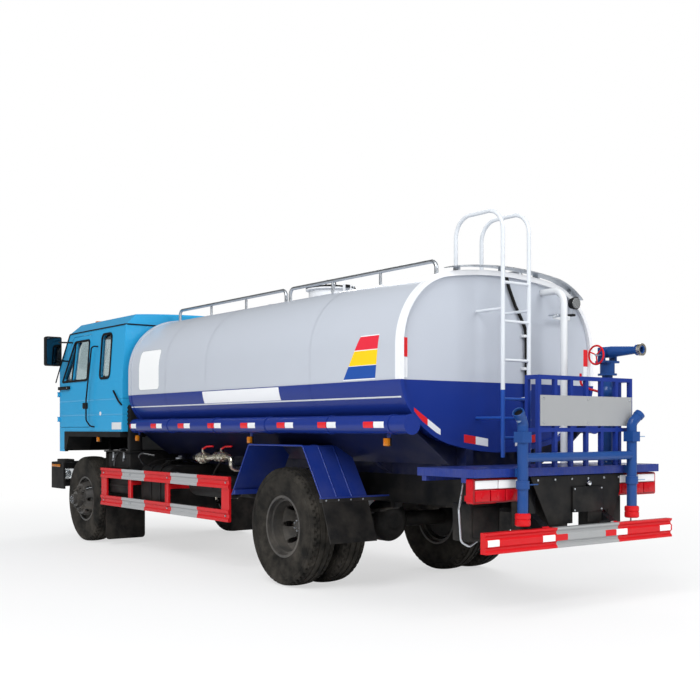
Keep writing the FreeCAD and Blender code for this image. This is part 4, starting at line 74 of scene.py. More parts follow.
def start_material(name, colour, roughness, metallic=0.0, coat=0.0):
    """A new material with its plain values set on the shader's own sockets."""
    made = bpy.data.materials.new(name)
    made.use_nodes = True
    shader = made.node_tree.nodes["Principled BSDF"]
    shader.inputs["Base Color"].default_value = linear(colour)
    shader.inputs["Roughness"].default_value = roughness
    shader.inputs["Metallic"].default_value = metallic
    shader.inputs["Specular IOR Level"].default_value = 0.5 if metallic else 0.2
    shader.inputs["Coat Weight"].default_value = coat
    shader.inputs["Coat Roughness"].default_value = 0.06
    return made, made.node_tree, shader


def place_of(tree):
    """The point on the object, in metres, and its three coordinates."""
    point = add(tree, "TexCoord").outputs["Object"]
    split = add(tree, "SeparateXYZ", {0: point})
    return point, split.outputs[0], split.outputs[1], split.outputs[2]


def within(tree, *spans):
    """1 where each coordinate lies between its two values."""
    mask = None
    for along, low, high in spans:
        span = add(tree, "Math", {0: along, 1: (low + high) / 2, 2: (high - low) / 2}, operation="COMPARE")
        mask = add(tree, "Math", {0: mask, 1: span}, operation="MULTIPLY") if mask else span
    return mask


def paint_over(tree, under, colour, mask):
    """A colour laid over what is under it where the mask is 1."""
    return add(tree, "Mix", {"Factor": mask, 6: under, 7: colour}, data_type="RGBA").outputs[2]


def dust_over(tree, shader, base, roughness, amount, top=1.3):
    """Road dust, thicker towards the ground, over a colour; it also dulls the gloss."""
    point, _, _, up = place_of(tree)
    cloud = add(tree, "TexNoise", {"Vector": point, "Scale": 1 / (180 * MM), "Detail": 5.0, "Roughness": 0.62})
    blotch = add(tree, "MapRange", {0: cloud, 1: 0.36, 2: 0.72, 3: 0.0, 4: 1.0})
    low = add(tree, "MapRange", {0: up, 1: 0.2, 2: top, 3: amount, 4: amount * 0.12})
    mask = add(tree, "Math", {0: blotch, 1: low}, operation="MULTIPLY")
    tree.links.new(paint_over(tree, base, "#8D857A", mask), shader.inputs["Base Color"])
    dull = add(tree, "MapRange", {0: mask, 1: 0.0, 2: 1.0, 3: roughness, 4: 0.85})
    tree.links.new(dull.outputs[0], shader.inputs["Roughness"])
    return point


def emboss(tree, shader, height, distance_mm, strength=1.0):
    """Let a height pattern, in metres times its distance, tilt the surface."""
    bump = add(tree, "Bump", {"Height": height, "Distance": distance_mm * MM, "Strength": strength})
    tree.links.new(bump.outputs[0], shader.inputs["Normal"])


# Materials

def enamel(name, colour, roughness=0.22, dust=0.3, coat=0.1, layers=None):
    """Sprayed synthetic enamel: an even gloss with faint orange peel and a film of road dust low down."""
    made, tree, shader = start_material(name, colour, roughness, coat=coat)
    base = layers(tree) if layers else colour
    point = dust_over(tree, shader, base, roughness, dust)
    # orange peel is about 3 mm across on a truck; drawn at 9 mm so that it shows
    peel = add(tree, "TexNoise", {"Vector": point, "Scale": 1 / (9 * MM), "Detail": 2.0})
    emboss(tree, shader, peel, 0.12, 0.35)
    return made


def tank_layers(tree):
    """Light grey above the band and deep blue below, with the pinstripe, the slanted stripes and the tapes."""
    along, across, up = place_of(tree)[1:]
    aside = add(tree, "Math", {0: across}, operation="ABSOLUTE")
    facing = add(tree, "SeparateXYZ", {0: add(tree, "NewGeometry").outputs["Normal"]})
    lengthwise = add(tree, "Math", {0: facing}, operation="ABSOLUTE")
    end_on = (lengthwise, 0.5, 1.1)
    side_on = (lengthwise, -0.1, 0.5)
    above = (up, BAND_TOP, 4.0)
    sideways = (aside, 0.9, 2.0)
    head = (along, -4.0, TANK_REAR + 0.1)
    colour = paint_over(tree, DEEP_BLUE, TANK_GREY, within(tree, above))
    colour = paint_over(tree, colour, "#DDE1E6", within(tree, (up, 1.634, 1.646), (along, TANK_REAR + 0.03, 1.59),
        side_on))
    # the rim ring's outer face and its end face
    for ring in (((along, TANK_REAR - 0.01, TANK_REAR + 0.0605), (aside, 0.3, 2.0), above, side_on),
            ((along, TANK_REAR - 0.005, TANK_REAR + 0.012), above)):
        colour = paint_over(tree, colour, "#E6E8EB", within(tree, *ring))
    neck = within(tree, (along, -1.12, -0.5), (aside, -0.1, 0.3), (up, 2.705, 3.0))
    colour = paint_over(tree, colour, "#E9EBEE", neck)
    # a blank white box on the band, and a blank white panel with rounded corners near the cab
    box = within(tree, (up, 1.650, 1.768), (along, -1.556, -0.134), sideways)
    colour = paint_over(tree, colour, "#E8EAEE", box)
    reach = []
    for place, middle, half in ((along, 1.100, 0.252), (up, 2.044, 0.222)):
        offset = add(tree, "Math", {0: place, 1: middle}, operation="SUBTRACT")
        size = add(tree, "Math", {0: offset}, operation="ABSOLUTE")
        past = add(tree, "Math", {0: size, 1: half - 0.05}, operation="SUBTRACT")
        reach.append(add(tree, "Math", {0: past, 1: 0.0}, operation="MAXIMUM"))
    squares = [add(tree, "Math", {0: part, 1: part}, operation="MULTIPLY") for part in reach]
    radius = add(tree, "Math", {0: add(tree, "Math", {0: squares[0], 1: squares[1]}, operation="ADD")},
        operation="SQRT")
    # a darker grey rim round the white panel stands for the edge of the raised plate and the shade along it: painted
    # shade
    for size, tint in ((0.050, "#9AA0A8"), (0.045, "#F2F4F5")):
        colour = paint_over(tree, colour, tint, within(tree, (radius, -1.0, size), sideways))
    # three stripes between two slanted edges, with thin white outlines
    lean = add(tree, "Math", {0: up, 1: -0.66, 2: 1.793 * 0.66}, operation="MULTIPLY_ADD")
    front = add(tree, "Math", {0: along, 1: lean}, operation="SUBTRACT")
    back = add(tree, "Math", {0: lean, 1: -0.2, 2: along}, operation="MULTIPLY_ADD")
    for low, high, tint in ((1.787, 2.141, "#E9EBEE"), (1.795, 1.899, "#234F9F"), (1.903, 2.020, "#F6C91B"),
            (2.026, 2.133, "#DD2F41")):
        stripe = within(tree, (up, low, high), (front, -9.0, -2.540), (back, -2.966, 9.0), sideways)
        colour = paint_over(tree, colour, tint, stripe)
    # reflective tape on the rear head: upright at the outer edges, slanted below them, level at the bottom
    upright = (aside, 1.022, 1.082)
    slanted = (add(tree, "Math", {0: aside, 1: -0.62, 2: up}, operation="MULTIPLY_ADD"), 0.912, 0.966)
    level = (add(tree, "Math", {0: aside, 1: -0.134, 2: up}, operation="MULTIPLY_ADD"), 1.225, 1.290)
    # the tapes of the upright pair are parted by 5 mm
    for line, place, low, middle, gap, high in ((upright, up, 1.79, 1.945, 0.005, 2.10),
            (slanted, aside, 0.68, 0.815, 0.0, 0.955), (level, aside, 0.158, 0.297, 0.0, 0.427)):
        for first, last, tint in ((low, middle, TAPE_WHITE), (middle + gap, high, TAPE_RED)):
            colour = paint_over(tree, colour, tint, within(tree, line, (place, first, last), head, end_on))
    return colour


def taped(tree):
    """Deep blue lockers with short red and white reflective tapes spaced along their outer face."""
    along, across, up = place_of(tree)[1:]
    aside = add(tree, "Math", {0: across}, operation="ABSOLUTE")
    # a pair of tapes repeats every 640 mm
    spot = add(tree, "Math", {0: along, 1: 0.640}, operation="FLOORED_MODULO")
    colour = DEEP_BLUE
    for low, high, tint in ((0.10, 0.23, TAPE_WHITE), (0.235, 0.365, TAPE_RED)):
        tape = within(tree, (spot, low, high), (up, TUBE_UP - 0.028, TUBE_UP + 0.022), (aside, 1.10, 1.2))
        colour = paint_over(tree, colour, tint, tape)
    return colour


def bar_layers(tree):
    """A red underrun bar with a grey middle and white and red stickers, on black legs."""
    along, across, up = place_of(tree)[1:]
    colour = paint_over(tree, BAR_RED, "#9C9E9F", within(tree, (across, -0.385, 0.325)))
    colour = paint_over(tree, colour, "#141518", within(tree, (along, -4.108, -3.8)))
    for low, high, tint in ((0.93, 1.045, "#E9ECEE"), (0.35, 0.482, "#E9ECEE"), (0.212, 0.35, BAR_RED),
            (-0.353, -0.223, BAR_RED), (-0.486, -0.353, "#E9ECEE"), (-1.042, -0.901, "#E9ECEE")):
        colour = paint_over(tree, colour, tint, within(tree, (across, low, high), (up, 0.556, 0.604)))
    return colour


def guard_layers(tree):
    """Red guards whose two rails carry grey bands."""
    along, _, up = place_of(tree)[1:]
    colour = BAR_RED
    for first, last in ((-0.095, 0.490), (1.125, 1.715)):
        for low, high in ((0.4, 0.606), (0.816, 1.0)):
            colour = paint_over(tree, colour, "#A3A5A7", within(tree, (along, first, last), (up, low, high)))
    return colour


def pipe_layers(tree):
    """Mid blue pipes with red plastic caps on their mouths and grey valve levers."""
    across, up = place_of(tree)[2:]
    aside = add(tree, "Math", {0: across}, operation="ABSOLUTE")
    colour = paint_over(tree, PIPE_BLUE, "#D8222A", within(tree, (up, 0.6, 0.773)))
    return paint_over(tree, colour, "#8FA5BF", within(tree, (aside, 0.678, 0.8), (up, 0.9, 1.45)))


def mudguard_layers(tree):
    """Deep blue sheet whose lower rear part is a black rubber flap."""
    along, _, up = place_of(tree)[1:]
    return paint_over(tree, DEEP_BLUE, "#1B1B1C", within(tree, (along, -2.6, -2.1), (up, 0.3, 0.800)))


def ladder_layers(tree):
    """White enamel above the platform's rail and mid blue below it."""
    return paint_over(tree, "#234C9E", "#D3D8DE", within(tree, (place_of(tree)[3], 1.703, 9.0)))


def pressed_enamel(name, colour):
    """Cab enamel over thin sheet: two long creases pressed along the sides show as soft lines."""
    made, tree, shader = start_material(name, colour, 0.2, coat=0.15)
    along, across, up = place_of(tree)[1:]
    aside = add(tree, "Math", {0: across}, operation="ABSOLUTE")
    # painted shade: near black on what hangs below the floor behind the front panel, where it lies in shadow
    low_down = (up, 0.9, 1.362)
    shaded_below_floor = within(tree, (along, 1.0, 3.90), (aside, -0.1, 1.100), low_down)
    base = paint_over(tree, colour, UNDER_CAB_PAINTED_SHADE, shaded_below_floor)
    # and the same painted shade on the inner faces of its sides and its front
    facing = add(tree, "SeparateXYZ", {0: add(tree, "NewGeometry").outputs["Normal"]})
    inward = add(tree, "Math", {0: facing.outputs[1], 1: across}, operation="MULTIPLY")
    for turned_in in ((inward, -2.0, -0.3), (facing.outputs[0], -1.1, -0.3)):
        base = paint_over(tree, base, UNDER_CAB_PAINTED_SHADE, within(tree, turned_in, low_down))
    dust_over(tree, shader, base, 0.2, 0.08)
    folds = []
    for height in (1.736, 1.555):
        away = add(tree, "Math", {0: up, 1: height}, operation="SUBTRACT")
        folds.append(add(tree, "Math", {0: add(tree, "Math", {0: away}, operation="ABSOLUTE"), 1: 0.014},
            operation="MINIMUM"))
    emboss(tree, shader, add(tree, "Math", {0: folds[0], 1: folds[1]}, operation="ADD"), 700, 0.55)
    return made


def moulded(name, colour, roughness=0.62, grain_mm=2.5, dust=0.35):
    """Injection-moulded plastic with an etched leather grain; the real 1 mm grain is drawn coarser so that it shows."""
    made, tree, shader = start_material(name, colour, roughness)
    point = dust_over(tree, shader, colour, roughness, dust)
    cells = add(tree, "TexVoronoi", {"Vector": point, "Scale": 1 / (grain_mm * MM)}, feature="SMOOTH_F1")
    emboss(tree, shader, cells, 0.3, 0.4)
    return made


def rubber(name, colour, roughness=0.8, dust=0.6):
    """Vulcanised rubber: near black, dull, greyed by dust in patches."""
    made, tree, shader = start_material(name, colour, roughness)
    point = dust_over(tree, shader, colour, roughness, dust, 2.2)
    grit = add(tree, "TexNoise", {"Vector": point, "Scale": 1 / (14 * MM), "Detail": 6.0, "Roughness": 0.7})
    emboss(tree, shader, grit, 0.8, 0.4)
    return made


def bare_metal(name, colour, roughness, blotch_mm=35):
    """Bare or plated metal, whose gloss varies in soft patches with handling and weather."""
    made, tree, shader = start_material(name, colour, roughness, 1.0)
    point = place_of(tree)[0]
    spread = add(tree, "TexNoise", {"Vector": point, "Scale": 1 / (blotch_mm * MM), "Detail": 4.0, "Roughness": 0.6})
    gloss = add(tree, "MapRange", {0: spread, 1: 0.3, 2: 0.7, 3: roughness * 0.7, 4: roughness * 1.5})
    tree.links.new(gloss.outputs[0], shader.inputs["Roughness"])
    fine = add(tree, "TexNoise", {"Vector": point, "Scale": 1 / (6 * MM), "Detail": 3.0})
    emboss(tree, shader, fine, 0.1, 0.3)
    return made


def lens(name, colour, transmission=0.6):
    """Moulded acrylic lens with ribbed optics inside; the real 4 mm ribs are drawn at 9 mm."""
    made, tree, shader = start_material(name, colour, 0.1)
    shader.inputs["Transmission Weight"].default_value = transmission
    shader.inputs["IOR"].default_value = 1.49
    along, across, up = place_of(tree)[1:]
    ribs = [add(tree, "Math", {0: place, 1: 4.5 * MM}, operation="PINGPONG") for place in (along, across, up)]
    pair = add(tree, "Math", {0: ribs[0], 1: ribs[1]}, operation="ADD")
    emboss(tree, shader, add(tree, "Math", {0: pair, 1: ribs[2]}, operation="ADD"), 180, 0.35)
    return made


def pane(name, colour):
    """Float glass, lightly tinted: clear, with a trace of dust that catches light."""
    made, tree, shader = start_material(name, colour, 0.02)
    shader.inputs["Transmission Weight"].default_value = 1.0
    shader.inputs["IOR"].default_value = 1.45
    film = add(tree, "TexNoise", {"Vector": place_of(tree)[0], "Scale": 1 / (260 * MM), "Detail": 5.0})
    haze = add(tree, "MapRange", {0: film, 1: 0.45, 2: 0.8, 3: 0.02, 4: 0.12})
    tree.links.new(haze.outputs[0], shader.inputs["Roughness"])
    return made


def tread_plate(name, colour):
    """Chequer plate: raised bars 30 mm long, crossed in turn, pressed into painted sheet."""
    made, tree, shader = start_material(name, colour, 0.32, coat=0.2)
    along, across, up = place_of(tree)[1:]
    dust_over(tree, shader, colour, 0.32, 0.25, 1.6)
    slant = add(tree, "Math", {0: along, 1: across}, operation="ADD")
    cross = add(tree, "Math", {0: along, 1: across}, operation="SUBTRACT")
    bars = []
    for first, second, shift in ((slant, cross, 0.0), (cross, slant, 0.021)):
        wide = add(tree, "Math", {0: first, 1: 21 * MM}, operation="PINGPONG")
        moved = add(tree, "Math", {0: second, 1: shift}, operation="ADD")
        long = add(tree, "Math", {0: moved, 1: 21 * MM}, operation="PINGPONG")
        bars.append(within(tree, (wide, -1.0, 4 * MM), (long, -1.0, 14 * MM)))
    emboss(tree, shader, add(tree, "Math", {0: bars[0], 1: bars[1]}, operation="MAXIMUM"), 1.6, 0.9)
    return made


def woven(name, colour, second, thread_mm=4):
    """Woven seat cloth: two thread colours crossing; the real 1 mm thread is drawn coarser so that it shows."""
    made, tree, shader = start_material(name, colour, 0.9)
    along, across, up = place_of(tree)[1:]
    rising = add(tree, "Math", {0: along, 1: up}, operation="ADD")
    warp = add(tree, "Math", {0: across, 1: thread_mm * MM}, operation="PINGPONG")
    weft = add(tree, "Math", {0: rising, 1: thread_mm * MM}, operation="PINGPONG")
    over = add(tree, "Math", {0: warp, 1: weft}, operation="GREATER_THAN")
    tree.links.new(paint_over(tree, colour, second, over), shader.inputs["Base Color"])
    emboss(tree, shader, add(tree, "Math", {0: warp, 1: weft}, operation="ADD"), 400, 0.3)
    shader.inputs["Sheen Weight"].default_value = 0.3
    return made


DEEP_BLUE = "#1A3180"
PIPE_BLUE = "#1C4482"
TANK_GREY = "#B9BFC9"
BAR_RED = "#C9151D"
# near black laid under the cab as painted shade
UNDER_CAB_PAINTED_SHADE = "#17181A"
TAPE_WHITE = "#E4E7EA"
TAPE_RED = "#D8262E"

cab_blue = pressed_enamel("Light_blue_cab_enamel", "#2C9FD4")
tank_two_tone = enamel("Grey_over_blue_tank_enamel", TANK_GREY, 0.24, 0.04, 0.05, tank_layers)
deep_blue = enamel("Deep_blue_enamel", DEEP_BLUE, 0.25, 0.12)
mudguard_blue = enamel("Mudguard_enamel_and_flap", DEEP_BLUE, 0.28, 0.15, 0.1, mudguard_layers)
taped_blue = enamel("Deep_blue_enamel_with_tapes", DEEP_BLUE, 0.25, 0.1, 0.1, taped)
pipe_blue = enamel("Mid_blue_pipe_enamel", PIPE_BLUE, 0.28, 0.12)
spray_blue = enamel("Mid_blue_enamel_with_red_caps", PIPE_BLUE, 0.28, 0.12, 0.1, pipe_layers)
# the blue tray under the tank is given a near-black navy for the deep shade it lies in: painted shade
tray_navy_painted_shade = enamel("Tray_enamel_navy_as_painted_shade", "#0F1739", 0.4, 0.35, 0.2)
lamp_red = enamel("Red_lamp_housing", "#8E1019", 0.3, 0.1)
chassis_black = enamel("Satin_black_chassis_paint", "#0E0F11", 0.5, 0.14, 0.0)
wheel_dark = enamel("Dark_wheel_enamel", "#403F3E", 0.36, 0.35, 0.1)
guard_bands = enamel("Guard_enamel_red_and_grey", BAR_RED, 0.26, 0.03, 0.04, guard_layers)
bar_bands = enamel("Underrun_enamel_red_and_grey", BAR_RED, 0.26, 0.02, 0.04, bar_layers)
part_red = enamel("Red_enamel", BAR_RED, 0.3, 0.03, 0.04)
white_enamel = enamel("White_enamel", "#D9DCDF", 0.28, 0.12)
ladder_two_tone = enamel("Ladder_enamel_white_over_blue", "#D3D8DE", 0.28, 0.12, 0.2, ladder_layers)
sign_grey = enamel("Blank_sign_enamel", "#9B9D9F", 0.4, 0.15, 0.1)
galvanised = bare_metal("Galvanised_steel_tube", "#C9CED4", 0.34)
chrome = bare_metal("Chromed_steel", "#D9DCDF", 0.12)
nickel_brass = bare_metal("Nickelled_brass", "#D2CDBE", 0.28)
# mirror glass darkened, not silver: painted reflection of dark surroundings
mirror_dark_painted_reflection = bare_metal("Silvered_mirror_glass", "#555A5F", 0.04, 90)
spring_steel = enamel("Spring_steel_paint", "#1D1D1F", 0.55, 0.6, 0.0)
cast_engine = enamel("Rough_cast_engine_paint", "#3A3D40", 0.6, 0.5, 0.0)
exhaust_metal = bare_metal("Aluminised_exhaust_steel", "#6B6660", 0.55, 60)
black_plastic = moulded("Grained_black_plastic", "#131416", dust=0.16)
dash_plastic = moulded("Grained_dash_plastic", "#3A3B3E", 0.65, 3, 0.1)
tyre_rubber = rubber("Tyre_rubber", "#171614", 0.8, 0.2)
seal_rubber = rubber("Window_seal_rubber", "#0F0F10", 0.55, 0.1)
gloss_hose = enamel("Glossy_black_hose", "#2B2C2F", 0.14, 0.03, 0.7)
flap_rubber = rubber("Mud_flap_rubber", "#131314", 0.7, 0.14)
seat_cloth = woven("Woven_seat_cloth", "#3C3E44", "#2A2B30")
window_glass = pane("Tinted_window_glass", "#CFDBDD")
clear_lens = lens("Clear_lamp_lens", "#EDF1F3", 0.8)
red_lens = lens("Red_lamp_lens", "#C4101C", 0.12)
reversing_lens = lens("White_lamp_lens", "#F0F1F2", 0.1)
amber_lens = lens("Amber_lamp_lens", "#E88A12", 0.45)
deck_plate = tread_plate("Blue_chequer_plate", DEEP_BLUE)

NODE_FINISH = {tank_two_tone: ["tank_shell"], deep_blue: ["platform_railing"], mudguard_blue: ["rear_mudguards"],
    taped_blue: ["hose_tubes"], deck_plate: ["rear_platform"], spray_blue: ["sprinkler_pipes"],
    tray_navy_painted_shade: ["tank_cradle"], pipe_blue: ["water_pump", "cannon_riser", "cannon_swivel", "cannon_barrel"],
    cab_blue: ["cab_shell", "door_left", "door_right"], chassis_black: ["chassis_frame", "front_axle_beam",
    "rear_axle_housing", "propeller_shaft", "fuel_tank", "air_reservoirs", "knuckle_left", "knuckle_right", "tie_rod",
    "rear_panel"], spring_steel: ["leaf_springs"], cast_engine: ["engine_block"], exhaust_metal: ["exhaust_silencer"],
    black_plastic: ["battery_box", "front_bumper", "cab_grille", "front_wheel_arches", "mirror_left", "mirror_right",
    "steering_wheel", "manhole_lid", "cab_grab_handles"], dash_plastic: ["cab_dashboard"], seat_cloth: ["cab_seats"],
    window_glass: ["cab_glass", "door_glass_left", "door_glass_right"], tyre_rubber: ["front_tyre_left",
    "front_tyre_right", "rear_tyres_left", "rear_tyres_right"], wheel_dark: ["front_rim_left", "front_rim_right",
    "rear_rims_left", "rear_rims_right"], guard_bands: ["side_guards"], bar_bands: ["rear_underrun_bar"],
    red_lens: ["tail_lamps"], clear_lens: ["headlamps"], galvanised: ["tank_handrails"],
    ladder_two_tone: ["rear_ladder"], white_enamel: ["overflow_pipe"], sign_grey: ["railing_sign"], }
for finish, names in NODE_FINISH.items():
    for name in names:
        nodes[name].data.materials.clear()
        nodes[name].data.materials.append(finish)


# Modelling by hand

def bake_place():
    """Put the place, turn and scale of the piece in hand into its mesh."""
    bpy.ops.object.transform_apply(location=True, rotation=True, scale=True)


def pick(piece):
    """Take one piece in hand and nothing else."""
    bpy.ops.object.select_all(action="DESELECT")
    piece.select_set(True)
    bpy.context.view_layer.objects.active = piece


def settle(name, finish, body=None, smooth=None):
    """Name the piece in hand, put its place into its mesh, give it its finish and let it move with its body."""
    piece = bpy.context.object
    bake_place()
    piece.name = name
    piece.data.name = name
    piece.data.materials.clear()
    piece.data.materials.append(finish)
    if smooth:
        bpy.ops.object.shade_smooth_by_angle(angle=math.radians(smooth))
    if body:
        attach(piece, body)
    return piece


def edit(piece, wanted=None, kind="FACE"):
    """Enter edit mode with everything selected, or only the faces that are wanted by their centre and normal."""
    bpy.ops.object.mode_set(mode="EDIT")
    bpy.ops.mesh.select_mode(type=kind)
    if wanted is None:
        bpy.ops.mesh.select_all(action="SELECT")
        return
    bpy.ops.mesh.select_all(action="DESELECT")
    bpy.ops.object.mode_set(mode="OBJECT")
    for face in piece.data.polygons:
        face.select = bool(wanted(face.center, face.normal))
    bpy.ops.object.mode_set(mode="EDIT")


def done():
    bpy.ops.object.mode_set(mode="OBJECT")


def tidy_normals():
    """Merge what a spin or mirror left double and turn every face outwards."""
    bpy.ops.mesh.select_all(action="SELECT")
    bpy.ops.mesh.remove_doubles(threshold=0.00002)
    bpy.ops.mesh.dissolve_degenerate()
    bpy.ops.mesh.select_all(action="SELECT")
    bpy.ops.mesh.normals_make_consistent(inside=False)


def rounded_cube(low, high, round_mm, segments):
    """Add a block between two opposite corners, round its edges and return its centre."""
    bpy.ops.object.select_all(action="DESELECT")
    centre = [(first + last) / 2 for first, last in zip(low, high)]
    size = [abs(last - first) for first, last in zip(low, high)]
    bpy.ops.mesh.primitive_cube_add(size=1, location=centre, scale=size)
    bake_place()
    edit(bpy.context.object)
    bpy.ops.mesh.bevel(offset=round_mm * MM, segments=segments)
    done()
    return centre


def block(name, low, high, finish, round_mm=3, body="chassis", segments=2):
    """A pressed or moulded block between two opposite corners, its edges rounded."""
    rounded_cube(low, high, round_mm, segments)
    return settle(name, finish, body, 35)


def turned(name, section, centre, finish, axis="Y", steps=40, body="chassis", smooth=35):
    """A turned piece: a ring of points set to its section, along and out from the axis, and spun once round it."""
    bpy.ops.object.select_all(action="DESELECT")
    bpy.ops.mesh.primitive_circle_add(vertices=len(section), radius=0.1)
    piece = bpy.context.object
    for point, (along, out) in zip(piece.data.vertices, section):
        spot = {"X": (along, 0, out), "Y": (0, along, out), "Z": (out, 0, along)}[axis]
        point.co = [(part * MM) + shift for part, shift in zip(spot, centre)]
    edit(piece, kind="VERT")
    bpy.ops.mesh.spin(steps=steps, angle=math.tau, center=centre, axis=AXES[axis])
    tidy_normals()
    done()
    return settle(name, finish, body, smooth)


def tube(name, corners, bend, radius, finish, body="chassis", sides=14):
    """A bent tube: a ring pushed along the straights and spun round each corner, then closed at both ends."""
    spots = [Vector(corner) for corner in corners]
    run = (spots[1] - spots[0]).normalized()
    bpy.ops.object.select_all(action="DESELECT")
    bpy.ops.mesh.primitive_circle_add(vertices=sides, radius=radius, location=spots[0],
        rotation=run.to_track_quat("Z", "Y").to_euler(), fill_type="NOTHING")
    bake_place()
    piece = bpy.context.object
    edit(piece, kind="EDGE")
    here = spots[0]
    for index in range(1, len(spots)):
        run = (spots[index] - spots[index - 1]).normalized()
        if index == len(spots) - 1:
            bpy.ops.mesh.extrude_region_move(TRANSFORM_OT_translate={"value": spots[index] - here})
            continue
        turn = (spots[index + 1] - spots[index]).normalized()
        angle = run.angle(turn)
        back = bend * math.tan(angle / 2)
        stop = spots[index] - run * back
        bpy.ops.mesh.extrude_region_move(TRANSFORM_OT_translate={"value": stop - here})
        axis = run.cross(turn).normalized()
        bpy.ops.mesh.spin(steps=max(3, round(math.degrees(angle) / 13)), angle=-angle,
            center=stop + axis.cross(run) * bend, axis=axis)
        here = spots[index] + turn * back
    bpy.ops.mesh.edge_face_add()
    bpy.ops.mesh.select_all(action="SELECT")
    bpy.ops.mesh.fill_holes(sides=0)
    tidy_normals()
    done()
    return settle(name, finish, body, 50)


def framed(name, corners, round_mm, width_mm, depth_mm, finish, body="chassis"):
    """A seal or frame round an opening: a plate with rounded corners, inset, opened and thickened outwards."""
    bpy.ops.object.select_all(action="DESELECT")
    bpy.ops.mesh.primitive_plane_add(size=1)
    piece = bpy.context.object
    for index, corner in zip((0, 1, 3, 2), corners):
        piece.data.vertices[index].co = corner
    edit(piece, kind="VERT")
    bpy.ops.mesh.bevel(offset=round_mm * MM, segments=5, affect="VERTICES")
    bpy.ops.mesh.select_mode(type="FACE")
    bpy.ops.mesh.select_all(action="SELECT")
    bpy.ops.mesh.inset(thickness=width_mm * MM)
    bpy.ops.mesh.delete(type="FACE")
    bpy.ops.mesh.select_all(action="SELECT")
    first, second = Vector(corners[1]) - Vector(corners[0]), Vector(corners[3]) - Vector(corners[0])
    rise = first.cross(second).normalized() * depth_mm * MM
    bpy.ops.mesh.extrude_region_move(TRANSFORM_OT_translate={"value": rise})
    tidy_normals()
    done()
    return settle(name, finish, body)


def other_side(piece, body):
    """A mirrored copy of a piece, with its own mesh, for the right of the truck."""
    pick(piece)
    bpy.ops.object.duplicate(linked=False)
    copy = bpy.context.object
    copy.parent = None
    copy.matrix_world.identity()
    finish = copy.data.materials[0]
    copy.scale = (1, -1, 1)
    bake_place()
    edit(copy)
    bpy.ops.mesh.normals_make_consistent(inside=False)
    done()
    return settle(piece.name.replace("_left", "_right"), finish, body)


def aimed(piece, spot, towards, body="chassis"):
    """Turn a piece made upright at the origin so that it points along a direction, and set it at its place."""
    piece.rotation_euler = Vector(towards).to_track_quat("Z", "Y").to_euler()
    piece.location = spot
    pick(piece)
    return settle(piece.name, piece.data.materials[0], body)


def welded(pieces, name, body="chassis"):
    """Several loose pieces joined into one."""
    pick(pieces[0])
    for piece in pieces:
        piece.select_set(True)
    finish = pieces[0].data.materials[0]
    bpy.ops.object.join()
    return settle(name, finish, body)


# Tyres and wheels

def tyre(name, along, across):
    """A cross-ply tyre: ribbed tread with cut shoulders, a ringed side wall and a bead at the rim."""
    half = [(-80, 266), (-98, 268), (-106, 280), (-113, 292), (-116, 305), (-121, 330), (-125, 365), (-126, 400),
        (-125, 432), (-122, 450), (-124, 454), (-123, 462), (-119, 466), (-117, 486), (-113, 504), (-105, 514),
        (-92, 519), (-64, 523), (-61, 513), (-53, 513), (-50, 524.5), (-12, 526.5), (-9, 515), (-3, 515)]
    section = half + [(-aside, out) for aside, out in reversed(half)]
    piece = turned(name, section, (along, across, AXLE_UP), tyre_rubber, "Y", TREAD_STEPS, None)

    def cut(centre, low, high, odd):
        turn = math.degrees(math.atan2(centre.x - along, centre.z - AXLE_UP)) * TREAD_STEPS / 360
        out = math.hypot(centre.x - along, centre.z - AXLE_UP)
        return low < abs(centre.y - across) / MM < high and out > 0.495 and math.floor(turn) % 2 == odd
    edit(piece, lambda centre, normal: cut(centre, 92, 119, 0))
    bpy.ops.mesh.inset(thickness=0.001, depth=-0.014)
    done()
    edit(piece, lambda centre, normal: cut(centre, 64, 92, 1))
    bpy.ops.mesh.inset(thickness=0.003, depth=-0.009)
    done()
    return piece


def nut_ring(name, along, across, ring, count, nut, tall, finish, out, body):
    """Wheel nuts on a circle: one six-sided nut, chamfered, with its stud end, copied round the hub."""
    made = []
    for index in range(count):
        angle = math.tau * index / count
        spot = (along + ring * math.sin(angle), across, AXLE_UP + ring * math.cos(angle))
        bpy.ops.object.select_all(action="DESELECT")
        bpy.ops.mesh.primitive_cylinder_add(vertices=6, radius=nut, depth=tall, location=spot,
            rotation=(math.radians(-90 * out), 0, 0))
        bake_place()
        piece = bpy.context.object
        edit(piece, lambda centre, normal: normal.y * out > 0.9)
        bpy.ops.mesh.inset(thickness=nut * 0.22, depth=nut * 0.1)
        bpy.ops.mesh.inset(thickness=nut * 0.2)
        bpy.ops.mesh.extrude_region_move(TRANSFORM_OT_translate={"value": (0, out * tall * 0.5, 0)})
        done()
        made.append(settle(f"{name}_{index}", finish))
    return welded(made, name, body)


for side, out in SIDES:
    front = tyre(f"Front_tyre_{side}", FRONT_AXLE, out * 1.003)
    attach(front, f"front_wheel_{side}")
    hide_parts(f"front_tyre_{side}")
    pair = [tyre(f"Rear_tyre_{side}_{index}", REAR_AXLE, out * across) for index, across in enumerate((0.735, 1.065))]
    rear = welded(pair, f"Rear_tyres_{side}", f"rear_wheels_{side}")
    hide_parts(f"rear_tyres_{side}")


# Wheel nuts and hubs

def dome(name, centre, radius_mm, tall_mm, finish, axis="Y", out=1, body="chassis"):
    """A round-headed bolt or button, flat underneath."""
    section = [(0, 0.1), (0, radius_mm), (out * tall_mm * 0.55, radius_mm * 0.96),
        (out * tall_mm * 0.9, radius_mm * 0.6), (out * tall_mm, 0.1)]
    return turned(name, section, centre, finish, axis, 16, body)


